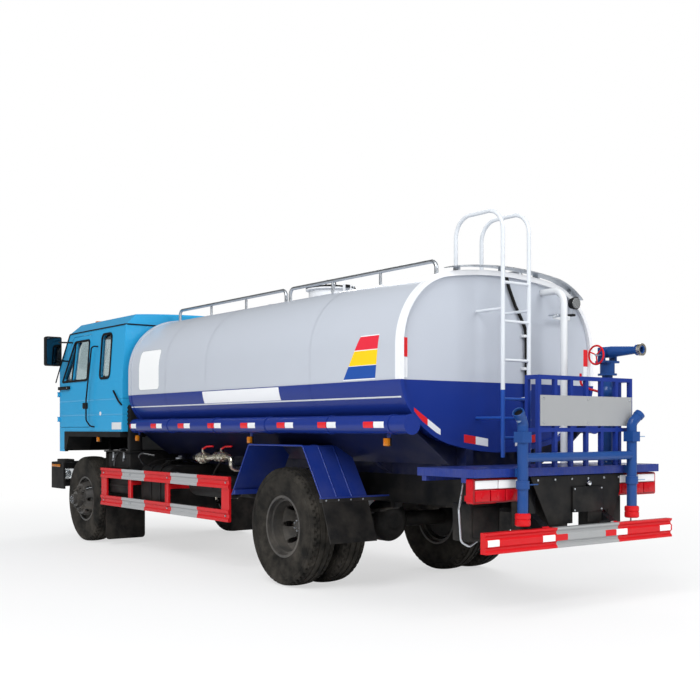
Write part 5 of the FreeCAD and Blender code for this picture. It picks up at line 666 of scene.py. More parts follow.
for side, out in SIDES:
    for place, body, along, disc, hub, ring in (("Front", f"front_wheel_{side}", FRONT_AXLE, 1.181, 1.279, 0.036),
            ("Rear", f"rear_wheels_{side}", REAR_AXLE, 0.929, 1.011, 0.044)):
        nut_ring(f"{place}_wheel_nuts_{side}", along, out * disc, 0.140, 8, 0.021, 0.030, wheel_dark, out, body)
        nut_ring(f"{place}_hub_bolts_{side}", along, out * hub, ring, 6, 0.009, 0.010, galvanised, out, body)
        tube(f"{place}_valve_stem_{side}", [(along - 0.195, out * (hub - 0.190), 0.677),
            (along - 0.180, out * (hub - 0.140), 0.666), (along - 0.170, out * (hub - 0.105), 0.658)], 0.02, 0.004,
            galvanised, body, 8)


# Cab outside

def on_side(along, up, proud_mm=0.0, out=1):
    """A point on a side of the cab, upright to the waist and leaning in above it."""
    return (along, out * (CAB_SIDE - max(0, up - 1.965) * 0.0709 + proud_mm * MM), up)


def on_screen(across, up, proud_mm=0.0):
    """A point on the plane of the windscreen, or off it."""
    return (3.795 - 0.6327 * (up - 1.965) + 0.845 * proud_mm * MM, across, up + 0.535 * proud_mm * MM)


def plate(name, corners, depth_mm, finish, body="chassis", round_mm=0.0):
    """A flat plate cut to its corners, thickened outwards, with rounded corners and eased edges."""
    bpy.ops.object.select_all(action="DESELECT")
    bpy.ops.mesh.primitive_circle_add(vertices=len(corners), radius=0.1, fill_type="NGON")
    piece = bpy.context.object
    for point, corner in zip(piece.data.vertices, corners):
        point.co = corner
    edit(piece, kind="VERT")
    if round_mm:
        bpy.ops.mesh.bevel(offset=round_mm * MM, segments=5, affect="VERTICES")
    first, second = Vector(corners[1]) - Vector(corners[0]), Vector(corners[-1]) - Vector(corners[0])
    rise = first.cross(second).normalized() * depth_mm * MM
    bpy.ops.mesh.select_mode(type="FACE")
    bpy.ops.mesh.select_all(action="SELECT")
    bpy.ops.mesh.extrude_region_move(TRANSFORM_OT_translate={"value": rise})
    bpy.ops.mesh.inset(thickness=min(0.0015, depth_mm * MM / 3), depth=-min(0.001, depth_mm * MM / 4))
    tidy_normals()
    done()
    return settle(name, finish, body)


framed("Windscreen_rubber", [on_screen(-1.026, 2.016, -1), on_screen(1.026, 2.016, -1), on_screen(0.945, 2.614, -1),
    on_screen(-0.945, 2.614, -1)], 84, 32, 11, seal_rubber, "cab")
framed("Rear_window_rubber", [(1.691, 0.636, 1.964), (1.691, -0.636, 1.964), (1.691, -0.636, 2.436),
    (1.691, 0.636, 2.436)], 94, 32, 10, seal_rubber, "cab")
quarter = framed("Quarter_window_rubber_left", [on_side(2.043, 1.983, -1), on_side(2.043, 2.537, -1),
    on_side(2.357, 2.537, -1), on_side(2.357, 1.983, -1)], 70, 26, 10, seal_rubber, "cab")
other_side(quarter, "cab")
window = framed("Door_window_rubber_left", [on_side(2.706, 1.981, -1), on_side(2.706, 2.499, -1),
    on_side(3.188, 2.499, -1), on_side(3.548, 1.981, -1)], 50, 26, 10, seal_rubber, "door_left")
other_side(window, "door_right")
strip = plate("Vent_window_bar_left", [on_side(3.196, 1.992, 0), on_side(3.138, 2.488, 0), on_side(3.166, 2.488, 0),
    on_side(3.226, 1.992, 0)], 7, seal_rubber, "door_left")
other_side(strip, "door_right")

# the rain gutter runs round the back of the roof, along each side and down the windscreen pillar
for side, out in SIDES:
    tube(f"Roof_gutter_{side}", [(1.686, 0.0, 2.602), (1.686, out * 1.112, 2.602), (3.372, out * 1.112, 2.602),
        (3.566, out * 1.136, 2.300), (3.756, out * 1.155, 1.996)], 0.035, 0.008, seal_rubber, "cab", 8)

# a round lock button and a blank plate behind each door
for side, out in SIDES:
    turned(f"Lock_button_{side}", [(0, 0.1), (0, 24), (out * 4, 24), (out * 6, 21), (out * 6, 14), (out * 9, 12),
        (out * 9, 0.1)], (2.316, out * CAB_SIDE, 1.576), white_enamel, "Y", 28, "cab")
blank = plate("Blank_side_plate_left", [(1.725, CAB_SIDE, 1.387), (1.725, CAB_SIDE, 1.469), (1.983, CAB_SIDE, 1.469),
    (1.983, CAB_SIDE, 1.387)], 3, white_enamel, "cab", 6)
other_side(blank, "cab")

# door handles: a shallow black dish with a flap, and a lock beside it
for side, out in SIDES:
    body = f"door_{side}"
    plate(f"Door_handle_dish_{side}", [(2.700, out * CAB_SIDE, 1.640), (2.700, out * CAB_SIDE, 1.715),
        (2.860, out * CAB_SIDE, 1.715), (2.860, out * CAB_SIDE, 1.640)][::out], 4, black_plastic, body, 12)
    block(f"Door_handle_flap_{side}", (2.716, out * 1.156, 1.668), (2.832, out * 1.170, 1.700), black_plastic, 5, body)
    dome(f"Door_lock_{side}", (2.846, out * 1.157, 1.654), 8, 3, chrome, "Y", out, body)
    # the lower mirror bracket sits on the front corner of the window sill
    block(f"Mirror_bracket_{side}", (3.262, out * 1.152, 1.893), (3.612, out * 1.186, 1.935), black_plastic, 8, body)
    dome(f"Mirror_bracket_bolt_{side}", (3.300, out * 1.186, 1.914), 8, 5, galvanised, "Y", out, body)

# mirror glass faces the rear; it is dark grey metal rather than bright silver, as a painted reflection of dark
# surroundings
glass = plate("Mirror_glass_left", [(3.3305, 1.434, 2.206), (3.3305, 1.256, 2.206), (3.3305, 1.256, 2.544),
    (3.3305, 1.434, 2.544)], 2.5, mirror_dark_painted_reflection, "door_left", 18)
other_side(glass, "door_right")

# two marker lamps stand on the front of the roof
for side, out in SIDES:
    block(f"Roof_lamp_foot_{side}", (3.245, out * 0.75 - 0.055, 2.728), (3.335, out * 0.75 + 0.055, 2.752),
        black_plastic, 6, "cab")
    block(f"Roof_lamp_{side}", (3.255, out * 0.75 - 0.045, 2.750), (3.325, out * 0.75 + 0.045, 2.786), amber_lens, 10,
        "cab", 3)

# indicator lamps wrap the corners of the nose
for side, out in SIDES:
    block(f"Corner_lamp_frame_{side}", (3.900, out * 0.86 - 0.075, 1.425), (3.972, out * 0.86 + 0.075, 1.545),
        black_plastic, 8, "cab")
    block(f"Corner_lamp_{side}", (3.905, out * 0.86 - 0.062, 1.438), (3.980, out * 0.86 + 0.062, 1.532), amber_lens, 12,
        "cab", 3)

# wipers parked along the foot of the windscreen
for side, across in (("left", 0.62), ("right", -0.28)):
    turned(f"Wiper_pivot_{side}", [(-10, 0.1), (-10, 18), (14, 18), (20, 12), (20, 0.1)], on_screen(across, 1.985, 0),
        black_plastic, "Z", 20, "cab")
    tube(f"Wiper_arm_{side}", [on_screen(across, 1.985, 16), on_screen(across - 0.04, 2.020, 24),
        on_screen(across - 0.34, 2.066, 20)], 0.02, 0.006, black_plastic, "cab", 8)
    tube(f"Wiper_blade_{side}", [on_screen(across - 0.58, 2.058, 14), on_screen(across - 0.34, 2.060, 16),
        on_screen(across - 0.08, 2.058, 14)], 0.05, 0.007, seal_rubber, "cab", 8)

# black trim strip across the nose above the grille, left blank
plate("Nose_trim", [(4.020, -0.60, 1.667), (4.020, 0.60, 1.667), (4.020, 0.60, 1.692), (4.020, -0.60, 1.692)], 5,
    black_plastic, "cab", 8)


# Side equipment

def hexagon(name, centre, radius_mm, tall_mm, finish, axis="Y", out=1, body="chassis"):
    """A six-sided bolt head with a chamfered top."""
    turn = {"X": (0, math.radians(90), 0), "Y": (math.radians(-90), 0, 0), "Z": (0, 0, 0)}[axis]
    lift = AXES[axis]
    spot = [part + out * step * tall_mm * MM / 2 for part, step in zip(centre, lift)]
    bpy.ops.object.select_all(action="DESELECT")
    bpy.ops.mesh.primitive_cylinder_add(vertices=6, radius=radius_mm * MM, depth=tall_mm * MM, location=spot,
        rotation=turn)
    bake_place()
    piece = bpy.context.object
    edit(piece, lambda middle, normal: out * sum(a * b for a, b in zip(normal, lift)) > 0.9)
    bpy.ops.mesh.inset(thickness=radius_mm * MM * 0.2, depth=radius_mm * MM * 0.12)
    done()
    return settle(name, finish, body)


def bolt_row(name, spots, radius_mm, tall_mm, finish, axis="Y", out=1, body="chassis"):
    """A row of bolt heads as one piece."""
    made = [hexagon(f"{name}_{index}", spot, radius_mm, tall_mm, finish, axis, out, None) for index,
        spot in enumerate(spots)]
    return welded(made, name, body)


for side, out in SIDES:
    # a second, thinner upright stands ahead of each of the two middle ones
    for place, along in (("ahead", 1.552), ("middle", 0.626)):
        block(f"Guard_thin_upright_{place}_{side}", (along, out * 1.119, 0.600), (along + 0.016, out * 1.141, 0.822),
            part_red, 2)
    bolt_row(f"Guard_bolts_{side}", [(along, out * 1.143, up) for along in (-0.66, 0.58, 1.506, 2.235) for up in (0.549,
        0.873)], 11, 7, galvanised, "Y", out)
    # amber marker lamps hang under the long locker on blue lugs
    for index, along in enumerate((1.480, -0.980, -3.060)):
        block(f"Marker_lug_{side}_{index}", (along - 0.022, out * 1.045 - 0.004, 1.318),
            (along + 0.022, out * 1.045 + 0.004, 1.362), deep_blue, 2)
        block(f"Marker_foot_{side}_{index}", (along - 0.032, out * 1.052 - 0.012, 1.252),
            (along + 0.032, out * 1.052 + 0.004, 1.322), black_plastic, 4)
        block(f"Marker_lamp_{side}_{index}", (along - 0.028, out * 1.052, 1.256), (along + 0.028, out * 1.084, 1.318),
            amber_lens, 7, segments=3)
        dome(f"Marker_reflector_{side}_{index}", (along, out * 1.084, 1.287), 13, 4, amber_lens, "Y", out)
    # another hangs under the lip of the wheel arch and tilts with the cab
    block(f"Arch_lamp_foot_{side}", (2.348, out * 1.130 - 0.012, 1.236), (2.410, out * 1.130 + 0.012, 1.304),
        black_plastic, 4, "cab")
    block(f"Arch_lamp_{side}", (2.352, out * 1.142, 1.240), (2.406, out * 1.168, 1.296), amber_lens, 8, "cab", 3)
    # a rubber flap hangs from a bar behind the front wheel, clear of the steered tyre; it is drawn long and wide,
    # almost to the ground, so that its black also stands in for the shadow behind the wheel: painted shade
    plate(f"Front_mud_flap_{side}", [(2.262, out * 0.600, 1.116), (2.262, out * 1.104, 1.116),
        (2.262, out * 1.104, 0.070), (2.262, out * 0.600, 0.070)][::-out], 8, flap_rubber, round_mm=40)
    block(f"Front_flap_bar_{side}", (2.262, out * 0.43, 1.090), (2.276, out * 1.10, 1.118), chassis_black, 3)

# battery box: an overhanging lid, its latches and the ribs on its side
block("Battery_lid", (1.612, 0.436, 1.119), (2.345, 1.098, 1.137), black_plastic, 5)
for index, along in enumerate((1.78, 2.07)):
    block(f"Battery_latch_{index}", (along - 0.020, 1.084, 1.052), (along + 0.020, 1.100, 1.122), galvanised, 4)
    tube(f"Battery_latch_loop_{index}", [(along - 0.014, 1.098, 1.056), (along - 0.014, 1.106, 1.022),
        (along + 0.014, 1.106, 1.022), (along + 0.014, 1.098, 1.056)], 0.008, 0.003, galvanised, sides=8)
for index, up in enumerate((0.715, 0.825, 0.935)):
    block(f"Battery_box_rib_{index}", (1.660, 1.080, up), (2.190, 1.094, up + 0.032), black_plastic, 6)

# a black intake duct stands on the battery lid in the gap between cab and tank, with a louvred mouth at its top
block("Intake_duct", (1.617, 0.935, 1.136), (1.677, 1.098, 1.668), black_plastic, 14, segments=3)
for index, up in enumerate((1.440, 1.486, 1.532, 1.578, 1.624)):
    block(f"Intake_louvre_{index}", (1.622, 1.090, up), (1.672, 1.106, up + 0.022), black_plastic, 5)
tube("Cab_corner_strap", [(1.926, 1.162, 1.838), (1.770, 1.170, 1.716), (1.702, 1.160, 1.670)], 0.05, 0.011,
    seal_rubber, "cab", 10)

# fuel tank: a filler cap with a grip bar, and a rod over the top at each strap
turned("Fuel_cap", [(0, 0.1), (0, 50), (6, 54), (24, 54), (30, 48), (30, 0.1)], (1.065, 0.74, 1.046), galvanised, "Z",
    32)
block("Fuel_cap_grip", (1.020, 0.731, 1.070), (1.110, 0.749, 1.094), galvanised, 6)
for index, along in enumerate((0.90, 1.22)):
    tube(f"Fuel_strap_rod_{index}", [(along, 1.052, 0.985), (along, 0.980, 1.030), (along, 0.860, 1.052),
        (along, 0.600, 1.040), (along, 0.440, 0.985)], 0.06, 0.008, chassis_black, sides=8)
# black hoses in arcs behind the guard
for index, bends in enumerate(([(2.010, 1.110, 0.960), (1.990, 1.112, 1.060), (1.970, 1.060, 1.150),
        (1.930, 0.900, 1.170)], [(1.500, 0.950, 0.950), (1.480, 1.050, 1.070), (1.420, 1.050, 1.120),
        (1.320, 0.930, 1.090)], [(0.620, 0.980, 0.760), (0.600, 1.080, 0.880), (0.540, 1.080, 0.930),
        (0.440, 0.960, 0.900)])):
    tube(f"Guard_hose_{index}", bends, 0.05, 0.013, gloss_hose, sides=12)


# Ball valves and pipes beside the tank

def ball_valve(name, centre, bore_mm):
    """A brass ball valve in nickel: round body between two hexagon ends, a stem and a red lever."""
    along, across, up = centre
    wide = bore_mm * 1.5
    turned(name, [(-70, 0.1), (-70, wide), (-46, wide), (-44, bore_mm), (-34, bore_mm), (-26, wide * 1.1),
        (0, wide * 1.28), (26, wide * 1.1), (34, bore_mm), (44, bore_mm), (46, wide), (70, wide), (70, 0.1)], centre,
        nickel_brass, "X", 28)
    turned(name + "_stem", [(0, 0.1), (0, 14), (wide * 0.6, 12), (wide * 0.6, 9), (wide - 8, 9), (wide - 8, 0.1)],
        (along, across, up + wide * 1.1 * MM), nickel_brass, "Z", 20)
    top = up + (wide * 2.1 - 10) * MM
    tube(name + "_lever", [(along + 0.012, across, top - 0.010), (along - 0.030, across, top),
        (along - 0.080, across, top + 0.018), (along - 0.210, across, top + 0.022)], 0.03, 0.009, part_red, sides=10)


ball_valve("Side_valve_front", (0.060, 1.000, 1.096), 34)
ball_valve("Side_valve_rear", (-0.235, 0.950, 1.112), 30)
tube("Side_valve_pipe", [(0.130, 1.000, 1.096), (0.260, 1.000, 1.096), (0.260, 0.780, 1.096), (0.260, 0.640, 1.180)],
    0.05, 0.030, chassis_black, sides=18)
tube("Side_valve_link", [(-0.008, 1.000, 1.096), (-0.090, 0.990, 1.100), (-0.170, 0.950, 1.112)], 0.06, 0.028,
    nickel_brass, sides=18)
tube("Side_valve_elbow", [(-0.303, 0.950, 1.112), (-0.440, 0.950, 1.112), (-0.440, 0.950, 0.990),
    (-0.440, 0.760, 0.990)], 0.055, 0.027, nickel_brass, sides=18)
for index, centre in enumerate(((-0.018, 0.995, 1.096), (-0.150, 0.953, 1.110), (-0.318, 0.953, 1.110))):
    turned(f"Side_pipe_collar_{index}", [(-13, 0.1), (-13, 47), (-8, 50), (8, 50), (13, 47), (13, 0.1)], centre,
        nickel_brass, "X", 24)
tube("Side_drain_hose", [(-0.240, 0.960, 1.060), (-0.220, 1.010, 0.980), (-0.190, 1.030, 0.880),
    (-0.150, 1.000, 0.790)], 0.09, 0.009, seal_rubber, sides=10)

# air reservoirs: a drain cock under each
for index, across in enumerate((0.600, 0.852)):
    turned(f"Reservoir_drain_{index}", [(0, 0.1), (0, 12), (-14, 12), (-14, 8), (-30, 8), (-30, 0.1)],
        (0.045, across, 0.686), nickel_brass, "Z", 16)


# Rear mudguards

for side, out in SIDES:
    edge = [(-0.797, out * 1.150, 0.764), (-1.105, out * 1.150, 1.245), (-1.999, out * 1.150, 1.245),
        (-2.284, out * 1.150, 0.803)]
    tube(f"Mudguard_rolled_edge_{side}", edge, 0.03, 0.008, deep_blue, sides=10)
    for index, across in enumerate((0.830, 0.990)):
        tube(f"Mudguard_ridge_{side}_{index}", [(-1.900, out * across, 1.244), (-1.999, out * across, 1.244),
            (-2.282, out * across, 0.806)], 0.03, 0.008, deep_blue, sides=10)
    bolt_row(f"Mudguard_flap_bolts_{side}", [(-2.293, out * across, 0.786) for across in (0.72, 0.85, 0.98, 1.11)], 8,
        5, galvanised, "X", -1)


# Bumper and headlamps

for side, out in SIDES:
    block(f"Bumper_step_{side}", (3.480, out * 1.010, 0.956), (3.735, out * 1.146, 1.004), black_plastic, 8)
    block(f"Bumper_side_lamp_frame_{side}", (3.585, out * 1.146, 0.890), (3.905, out * 1.157, 0.944), black_plastic, 4)
    block(f"Bumper_side_lamp_{side}", (3.600, out * 1.150, 0.900), (3.890, out * 1.163, 0.934), amber_lens, 5,
        segments=3)
    for index, across in enumerate((0.725, 0.870)):
        turned(f"Headlamp_reflector_{side}_{index}", [(-16, 0.1), (-16, 14), (-10, 34), (4, 50), (20, 57), (20, 54),
            (4, 46), (-8, 30), (-12, 12), (-12, 0.1)], (4.078, out * across, 0.790), chrome, "X", 32)
        turned(f"Headlamp_bulb_{side}_{index}", [(-6, 0.1), (-6, 8), (14, 8), (20, 5), (20, 0.1)],
            (4.074, out * across, 0.790), clear_lens, "X", 16)
    framed(f"Headlamp_frame_{side}", [(4.126, out * 0.80 - 0.158, 0.712), (4.126, out * 0.80 + 0.158, 0.712),
        (4.126, out * 0.80 + 0.158, 0.868), (4.126, out * 0.80 - 0.158, 0.868)], 18, 15, 12, black_plastic)
    tube(f"Tow_eye_{side}", [(4.120, out * 0.42, 0.690), (4.156, out * 0.42, 0.690), (4.156, out * 0.36, 0.690),
        (4.120, out * 0.36, 0.690)], 0.018, 0.009, galvanised, sides=10)


# Rear lamps, panel and the box under the platform

for side, out in SIDES:
    block(f"Tail_lamp_housing_{side}", (-4.014, out * 0.560, 0.853), (-3.955, out * 1.040, 1.032), lamp_red, 8)
    for index, (first, last) in enumerate(((0.578, 0.795), (0.803, 1.022))):
        block(f"Tail_lamp_white_{side}_{index}", (-4.026, out * first, 0.956), (-4.008, out * last, 1.018),
            reversing_lens, 5, segments=3)
    for index, (first, last) in enumerate(((0.578, 0.720), (0.728, 0.872), (0.880, 1.022))):
        block(f"Tail_lamp_red_{side}_{index}", (-4.026, out * first, 0.866), (-4.008, out * last, 0.948), red_lens, 5,
            segments=3)
        dome(f"Tail_lamp_glow_{side}_{index}", (-4.0255, out * (first + last) / 2, 0.907), 22, 6, red_lens, "X", -1)
    # a box hangs from the frame on two arms, behind a bent rod
    block(f"Tool_box_{side}", (-3.800, out * 0.552, 0.548), (-3.600, out * 0.868, 0.836), black_plastic, 14, segments=3)
    block(f"Tool_box_lid_{side}", (-3.808, out * 0.575, 0.575), (-3.797, out * 0.845, 0.808), black_plastic, 10)
    for index, along in enumerate((-3.765, -3.655)):
        block(f"Tool_box_arm_{side}_{index}", (along - 0.018, out * 0.428, 0.786), (along + 0.018, out * 0.560, 0.822),
            chassis_black, 3)
    tube(f"Bent_rod_{side}", [(-3.815, out * 0.925, 1.098), (-3.815, out * 0.996, 0.803), (-3.815, out * 0.975, 0.560),
        (-3.815, out * 0.890, 0.520), (-3.760, out * 0.760, 0.548)], 0.05, 0.008, galvanised, sides=10)

# a square plate stands off the rear panel with a small lamp above it and a rubber apron beside it
block("Rear_plate", (-4.038, -0.348, 0.744), (-4.020, 0.004, 0.942), chassis_black, 4)
block("Rear_apron", (-3.925, -0.060, 0.520), (-3.915, 0.560, 0.985), flap_rubber, 3)
for side, out in SIDES:
    turned(f"Spray_cap_{side}", [(0, 0.1), (0, 50), (8, 58), (44, 58), (50, 53), (56, 58), (86, 58), (94, 50),
        (94, 42)], (-4.102, out * 0.626, 0.678), part_red, "Z", 24, smooth=20)
# the sprinkler elbows end in open mouths that face up and outwards
for side, out in SIDES:
    mouth = turned(f"Spray_mouth_{side}", [(-10, 36), (-10, 44), (22, 44), (24, 41), (24, 38), (22, 36), (2, 35),
        (2, 0.1)], (0, 0, 0), spray_blue, "Z", 32, None)
    aimed(mouth, (-4.122, out * 0.686, 1.500), (-0.229, out * 0.688, 0.688))
    # a black disc set deep in each mouth stands in for the shade inside the pipe: painted shade
    bore = turned(f"Spray_bore_{side}", [(0, 0.1), (0, 34.6), (3, 34.6), (5, 31), (5, 0.1)], (0, 0, 0), seal_rubber,
        "Z", 32, None)
    aimed(bore, (-4.122, out * 0.686, 1.500), (-0.229, out * 0.688, 0.688))
# the overflow pipe is drawn as thin as it is in the photograph
overflow = tube("Overflow_pipe", [(-3.510, -0.485, 1.102), (-3.510, -0.485, 2.563), (-3.262, -0.485, 2.563)], 0.110,
    0.030, white_enamel, sides=20)
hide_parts("overflow_pipe")
turned("Plate_lamp", [(0, 0.1), (0, 26), (-10, 26), (-26, 18), (-32, 0.1)], (-4.020, -0.187, 0.968), chrome, "X", 24)
bolt_row("Rear_plate_bolts", [(-4.038, across, up) for across in (-0.330, -0.014) for up in (0.760, 0.926)], 8, 5,
    galvanised, "X", -1)
bolt_row("Rear_panel_bolts", [(-4.020, across, 1.004) for across in (-0.56, -0.38, -0.19, 0.0, 0.19, 0.38)], 9, 6,
    galvanised, "X", -1)
bolt_row("Sign_bolts", [(-4.048, across, up) for across in (-0.66, -0.157, 0.345) for up in (1.440, 1.622)], 8, 4,
    galvanised, "X", -1)


# Tank head: hose, clips, brackets and work lamp

tube("Head_hose", [(-3.268, -0.040, 2.690), (-3.282, -0.063, 2.568), (-3.282, -0.138, 2.424), (-3.282, -0.201, 2.334),
    (-3.282, -0.262, 2.235), (-3.282, -0.268, 2.100), (-3.282, -0.274, 1.141)], 0.12, 0.014, seal_rubber, sides=14)
for index, (across, up) in enumerate(((-0.266, 2.177), (-0.270, 1.900), (-0.271, 1.647), (-0.272, 1.468),
        (-0.273, 1.219))):
    block(f"Hose_clip_{index}", (-3.298, across - 0.042, up - 0.012), (-3.260, across + 0.042, up + 0.012),
        white_enamel, 4)
block("Overflow_bracket", (-3.350, -0.745, 2.334), (-3.338, -0.540, 2.372), white_enamel, 3)
block("Overflow_bracket_foot", (-3.340, -0.745, 2.334), (-3.258, -0.733, 2.372), white_enamel, 3)
tube("Overflow_clip", [(-3.330, -0.545, 2.353), (-3.478, -0.545, 2.353), (-3.478, -0.425, 2.353),
    (-3.395, -0.425, 2.353)], 0.02, 0.006, galvanised, sides=8)
block("Work_lamp_bracket", (-3.330, -0.840, 2.380), (-3.262, -0.800, 2.400), black_plastic, 3)
tube("Work_lamp_stem", [(-3.320, -0.820, 2.392), (-3.320, -0.820, 2.440)], 0.01, 0.008, galvanised, sides=10)
turned("Work_lamp", [(34, 0.1), (34, 22), (22, 44), (-16, 54), (-30, 56), (-34, 54), (-34, 0.1)],
    (-3.320, -0.820, 2.492), black_plastic, "X", 32)
turned("Work_lamp_glass", [(-33, 0.1), (-33, 49), (-38, 46), (-42, 0.1)], (-3.320, -0.820, 2.492), clear_lens, "X", 32)


def seam(name, along, wide_mm, proud_mm):
    """A raised weld round the tank: a thin slice cut from a copy of its mesh and fattened a little."""
    shell = nodes["tank_shell"]
    pick(shell)
    bpy.ops.object.duplicate(linked=False)
    piece = bpy.context.object
    piece.parent = None
    edit(piece)
    for place, clear in ((along - wide_mm * MM / 2, {"clear_inner": True}),
            (along + wide_mm * MM / 2, {"clear_outer": True})):
        bpy.ops.mesh.select_all(action="SELECT")
        bpy.ops.mesh.bisect(plane_co=(place, 0, 0), plane_no=(1, 0, 0), **clear)
    bpy.ops.mesh.select_all(action="SELECT")
    bpy.ops.mesh.normals_make_consistent(inside=False)
    bpy.ops.transform.shrink_fatten(value=proud_mm * MM)
    done()
    return settle(name, tank_two_tone, "chassis", 40)


for index, along in enumerate((-2.05, -0.20, 0.70)):
    seam(f"Tank_seam_{index}", along, 10, 2)

# manhole: swing bolts round the flange, and a breather valve ahead of it
for index in range(6):
    angle = math.tau * (index + 0.5) / 6
    spot = (-0.830 + 0.236 * math.cos(angle), 0.236 * math.sin(angle), 2.800)
    turned(f"Lid_bolt_{index}", [(0, 0.1), (0, 9), (24, 9), (24, 16), (38, 16), (42, 8), (42, 0.1)], spot, galvanised,
        "Z", 14)
turned("Breather_valve", [(-30, 0.1), (-30, 52), (-22, 52), (-20, 26), (34, 26), (36, 60), (44, 66), (62, 62), (74, 40),
    (78, 0.1)], (0.30, 0.0, 2.700), white_enamel, "Z", 36)


# Cannon and riser

turned("Cannon_handwheel", [(-7, 72), (0, 68), (7, 72), (8, 80), (0, 85), (-8, 80)], (-3.810, -0.540, 2.000), part_red,
    "Y", 40, "cannon_swivel")
for index in range(3):
    angle = math.tau * index / 3 + 0.4
    tube(f"Handwheel_spoke_{index}", [(-3.810, -0.540, 2.000), (-3.810 + 0.072 * math.cos(angle), -0.540,
        2.000 + 0.072 * math.sin(angle))], 0.01, 0.006, part_red, "cannon_swivel", 8)
tube("Handwheel_shaft", [(-3.810, -0.532, 2.000), (-3.810, -0.612, 2.000)], 0.01, 0.010, galvanised, "cannon_swivel",
    12)
turned("Cannon_tip_ring", [(-3.0, 33), (-3.0, 50), (24, 50), (30, 44), (30, 33)], (-4.162, -0.680, 2.030), nickel_brass,
    "X", 36, "cannon_barrel")
for index in range(6):
    angle = math.tau * index / 6
    hexagon(f"Riser_bolt_{index}", (-3.810 + 0.062 * math.cos(angle), -0.680 + 0.062 * math.sin(angle), 1.116), 9, 8,
        galvanised, "Z")
tube("Riser_valve_lever", [(-3.762, -0.640, 1.700), (-3.730, -0.560, 1.720), (-3.700, -0.478, 1.760),
    (-3.700, -0.474, 1.850)], 0.03, 0.010, part_red, sides=10)
turned("Riser_valve", [(-42, 40), (-42, 56), (-20, 66), (0, 70), (20, 66), (42, 56), (42, 40)], (-3.810, -0.680, 1.700),
    pipe_blue, "Z", 32)


# Inside the cab

SEAT_SWELL_MM = 14
CHANNEL_STEP = 0.095
CHANNEL_HALF = 0.010
CHANNEL_DEEP = 0.008


def cushion(name, low, high, lean):
    """A stuffed seat pad: a block remeshed fine, blown up as cloth, then drawn in along its sewn channels."""
    centre = rounded_cube(low, high, 22, 3)
    piece = bpy.context.object
    piece.data.remesh_voxel_size = 0.011
    bpy.ops.object.voxel_remesh()
    rest = [point.co.copy() for point in piece.data.vertices]
    bpy.ops.object.modifier_add(type="CLOTH")
    cloth = piece.modifiers[0]
    cloth.settings.use_pressure = True
    cloth.settings.uniform_pressure_force = 4
    cloth.settings.effector_weights.gravity = 0
    for step in range(1, 13):
        bpy.context.scene.frame_set(step)
    bpy.ops.object.modifier_apply(modifier=cloth.name)
    bpy.context.scene.frame_set(1)
    for point, start in zip(piece.data.vertices, rest):
        moved = point.co - start
        if moved.length > SEAT_SWELL_MM * MM:
            point.co = start + moved.normalized() * SEAT_SWELL_MM * MM
        # channels run front to back on a base and up a back, 95 mm apart
        across = (point.co.y - centre[1]) / CHANNEL_STEP
        groove = max(0.0, 1 - abs(across - round(across)) * CHANNEL_STEP / CHANNEL_HALF) * (abs(across) < 1.4)
        deep = Vector((0, 0, 1)) if high[2] - low[2] < 0.3 else Vector((-1, 0, 0))
        side = (point.co - Vector(centre)).dot(deep)
        point.co -= deep * groove * CHANNEL_DEEP * (1 if side > 0 else 0)
        point.co.x -= (point.co.z - low[2]) * lean
    settle(name, seat_cloth, "cab")
    bpy.ops.object.shade_smooth()
    return piece


for place, first, last in (("driver", 0.345, 0.775), ("middle", -0.215, 0.215), ("right", -0.775, -0.345)):
    cushion(f"Seat_base_{place}", (2.735, first, 1.650), (3.180, last, 1.755), 0.0)
    cushion(f"Seat_back_{place}", (2.640, first, 1.775), (2.735, last, 2.290), 0.05)
    block(f"Seat_stand_{place}", (2.760, first + 0.055, 1.412), (3.140, last - 0.055, 1.646), black_plastic, 12, "cab")
    tube(f"Seat_frame_{place}", [(2.720, first + 0.03, 1.660), (2.655, first + 0.03, 1.780),
        (2.640, first + 0.03, 2.200), (2.640, last - 0.03, 2.200), (2.655, last - 0.03, 1.780),
        (2.720, last - 0.03, 1.660)], 0.04, 0.011, chassis_black, "cab", 10)
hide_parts("cab_seats")

# instruments under a cowl, radio, glove box, gear lever, visors, door cards, belts, mirror, mat and pedals
block("Instrument_cowl", (3.490, 0.330, 1.905), (3.640, 0.770, 1.962), dash_plastic, 16, "cab", 3)
for index, across in enumerate((0.410, 0.550, 0.690)):
    turned(f"Instrument_{index}", [(0, 0.1), (0, 34), (-6, 36), (-12, 30), (-9, 28), (-6, 0.1)], (3.513, across, 1.868),
        chrome if index == 1 else black_plastic, "X", 24, "cab")
block("Radio_slot", (3.462, -0.100, 1.745), (3.492, 0.100, 1.795), black_plastic, 5, "cab")
block("Glove_box", (3.462, -0.760, 1.690), (3.500, -0.360, 1.850), dash_plastic, 12, "cab")
tube("Gear_lever", [(3.260, 0.180, 1.405), (3.250, 0.190, 1.620), (3.190, 0.215, 1.860)], 0.08, 0.010, chassis_black,
    "cab", 12)
turned("Gear_knob", [(-24, 0.1), (-20, 14), (0, 24), (16, 20), (24, 0.1)], (3.187, 0.216, 1.880), black_plastic, "Z",
    24, "cab")
turned("Gear_gaiter", [(0, 70), (0, 78), (26, 54), (40, 58), (64, 34), (76, 36), (96, 18), (96, 0.1)],
    (3.258, 0.181, 1.406), seal_rubber, "Z", 24, "cab")
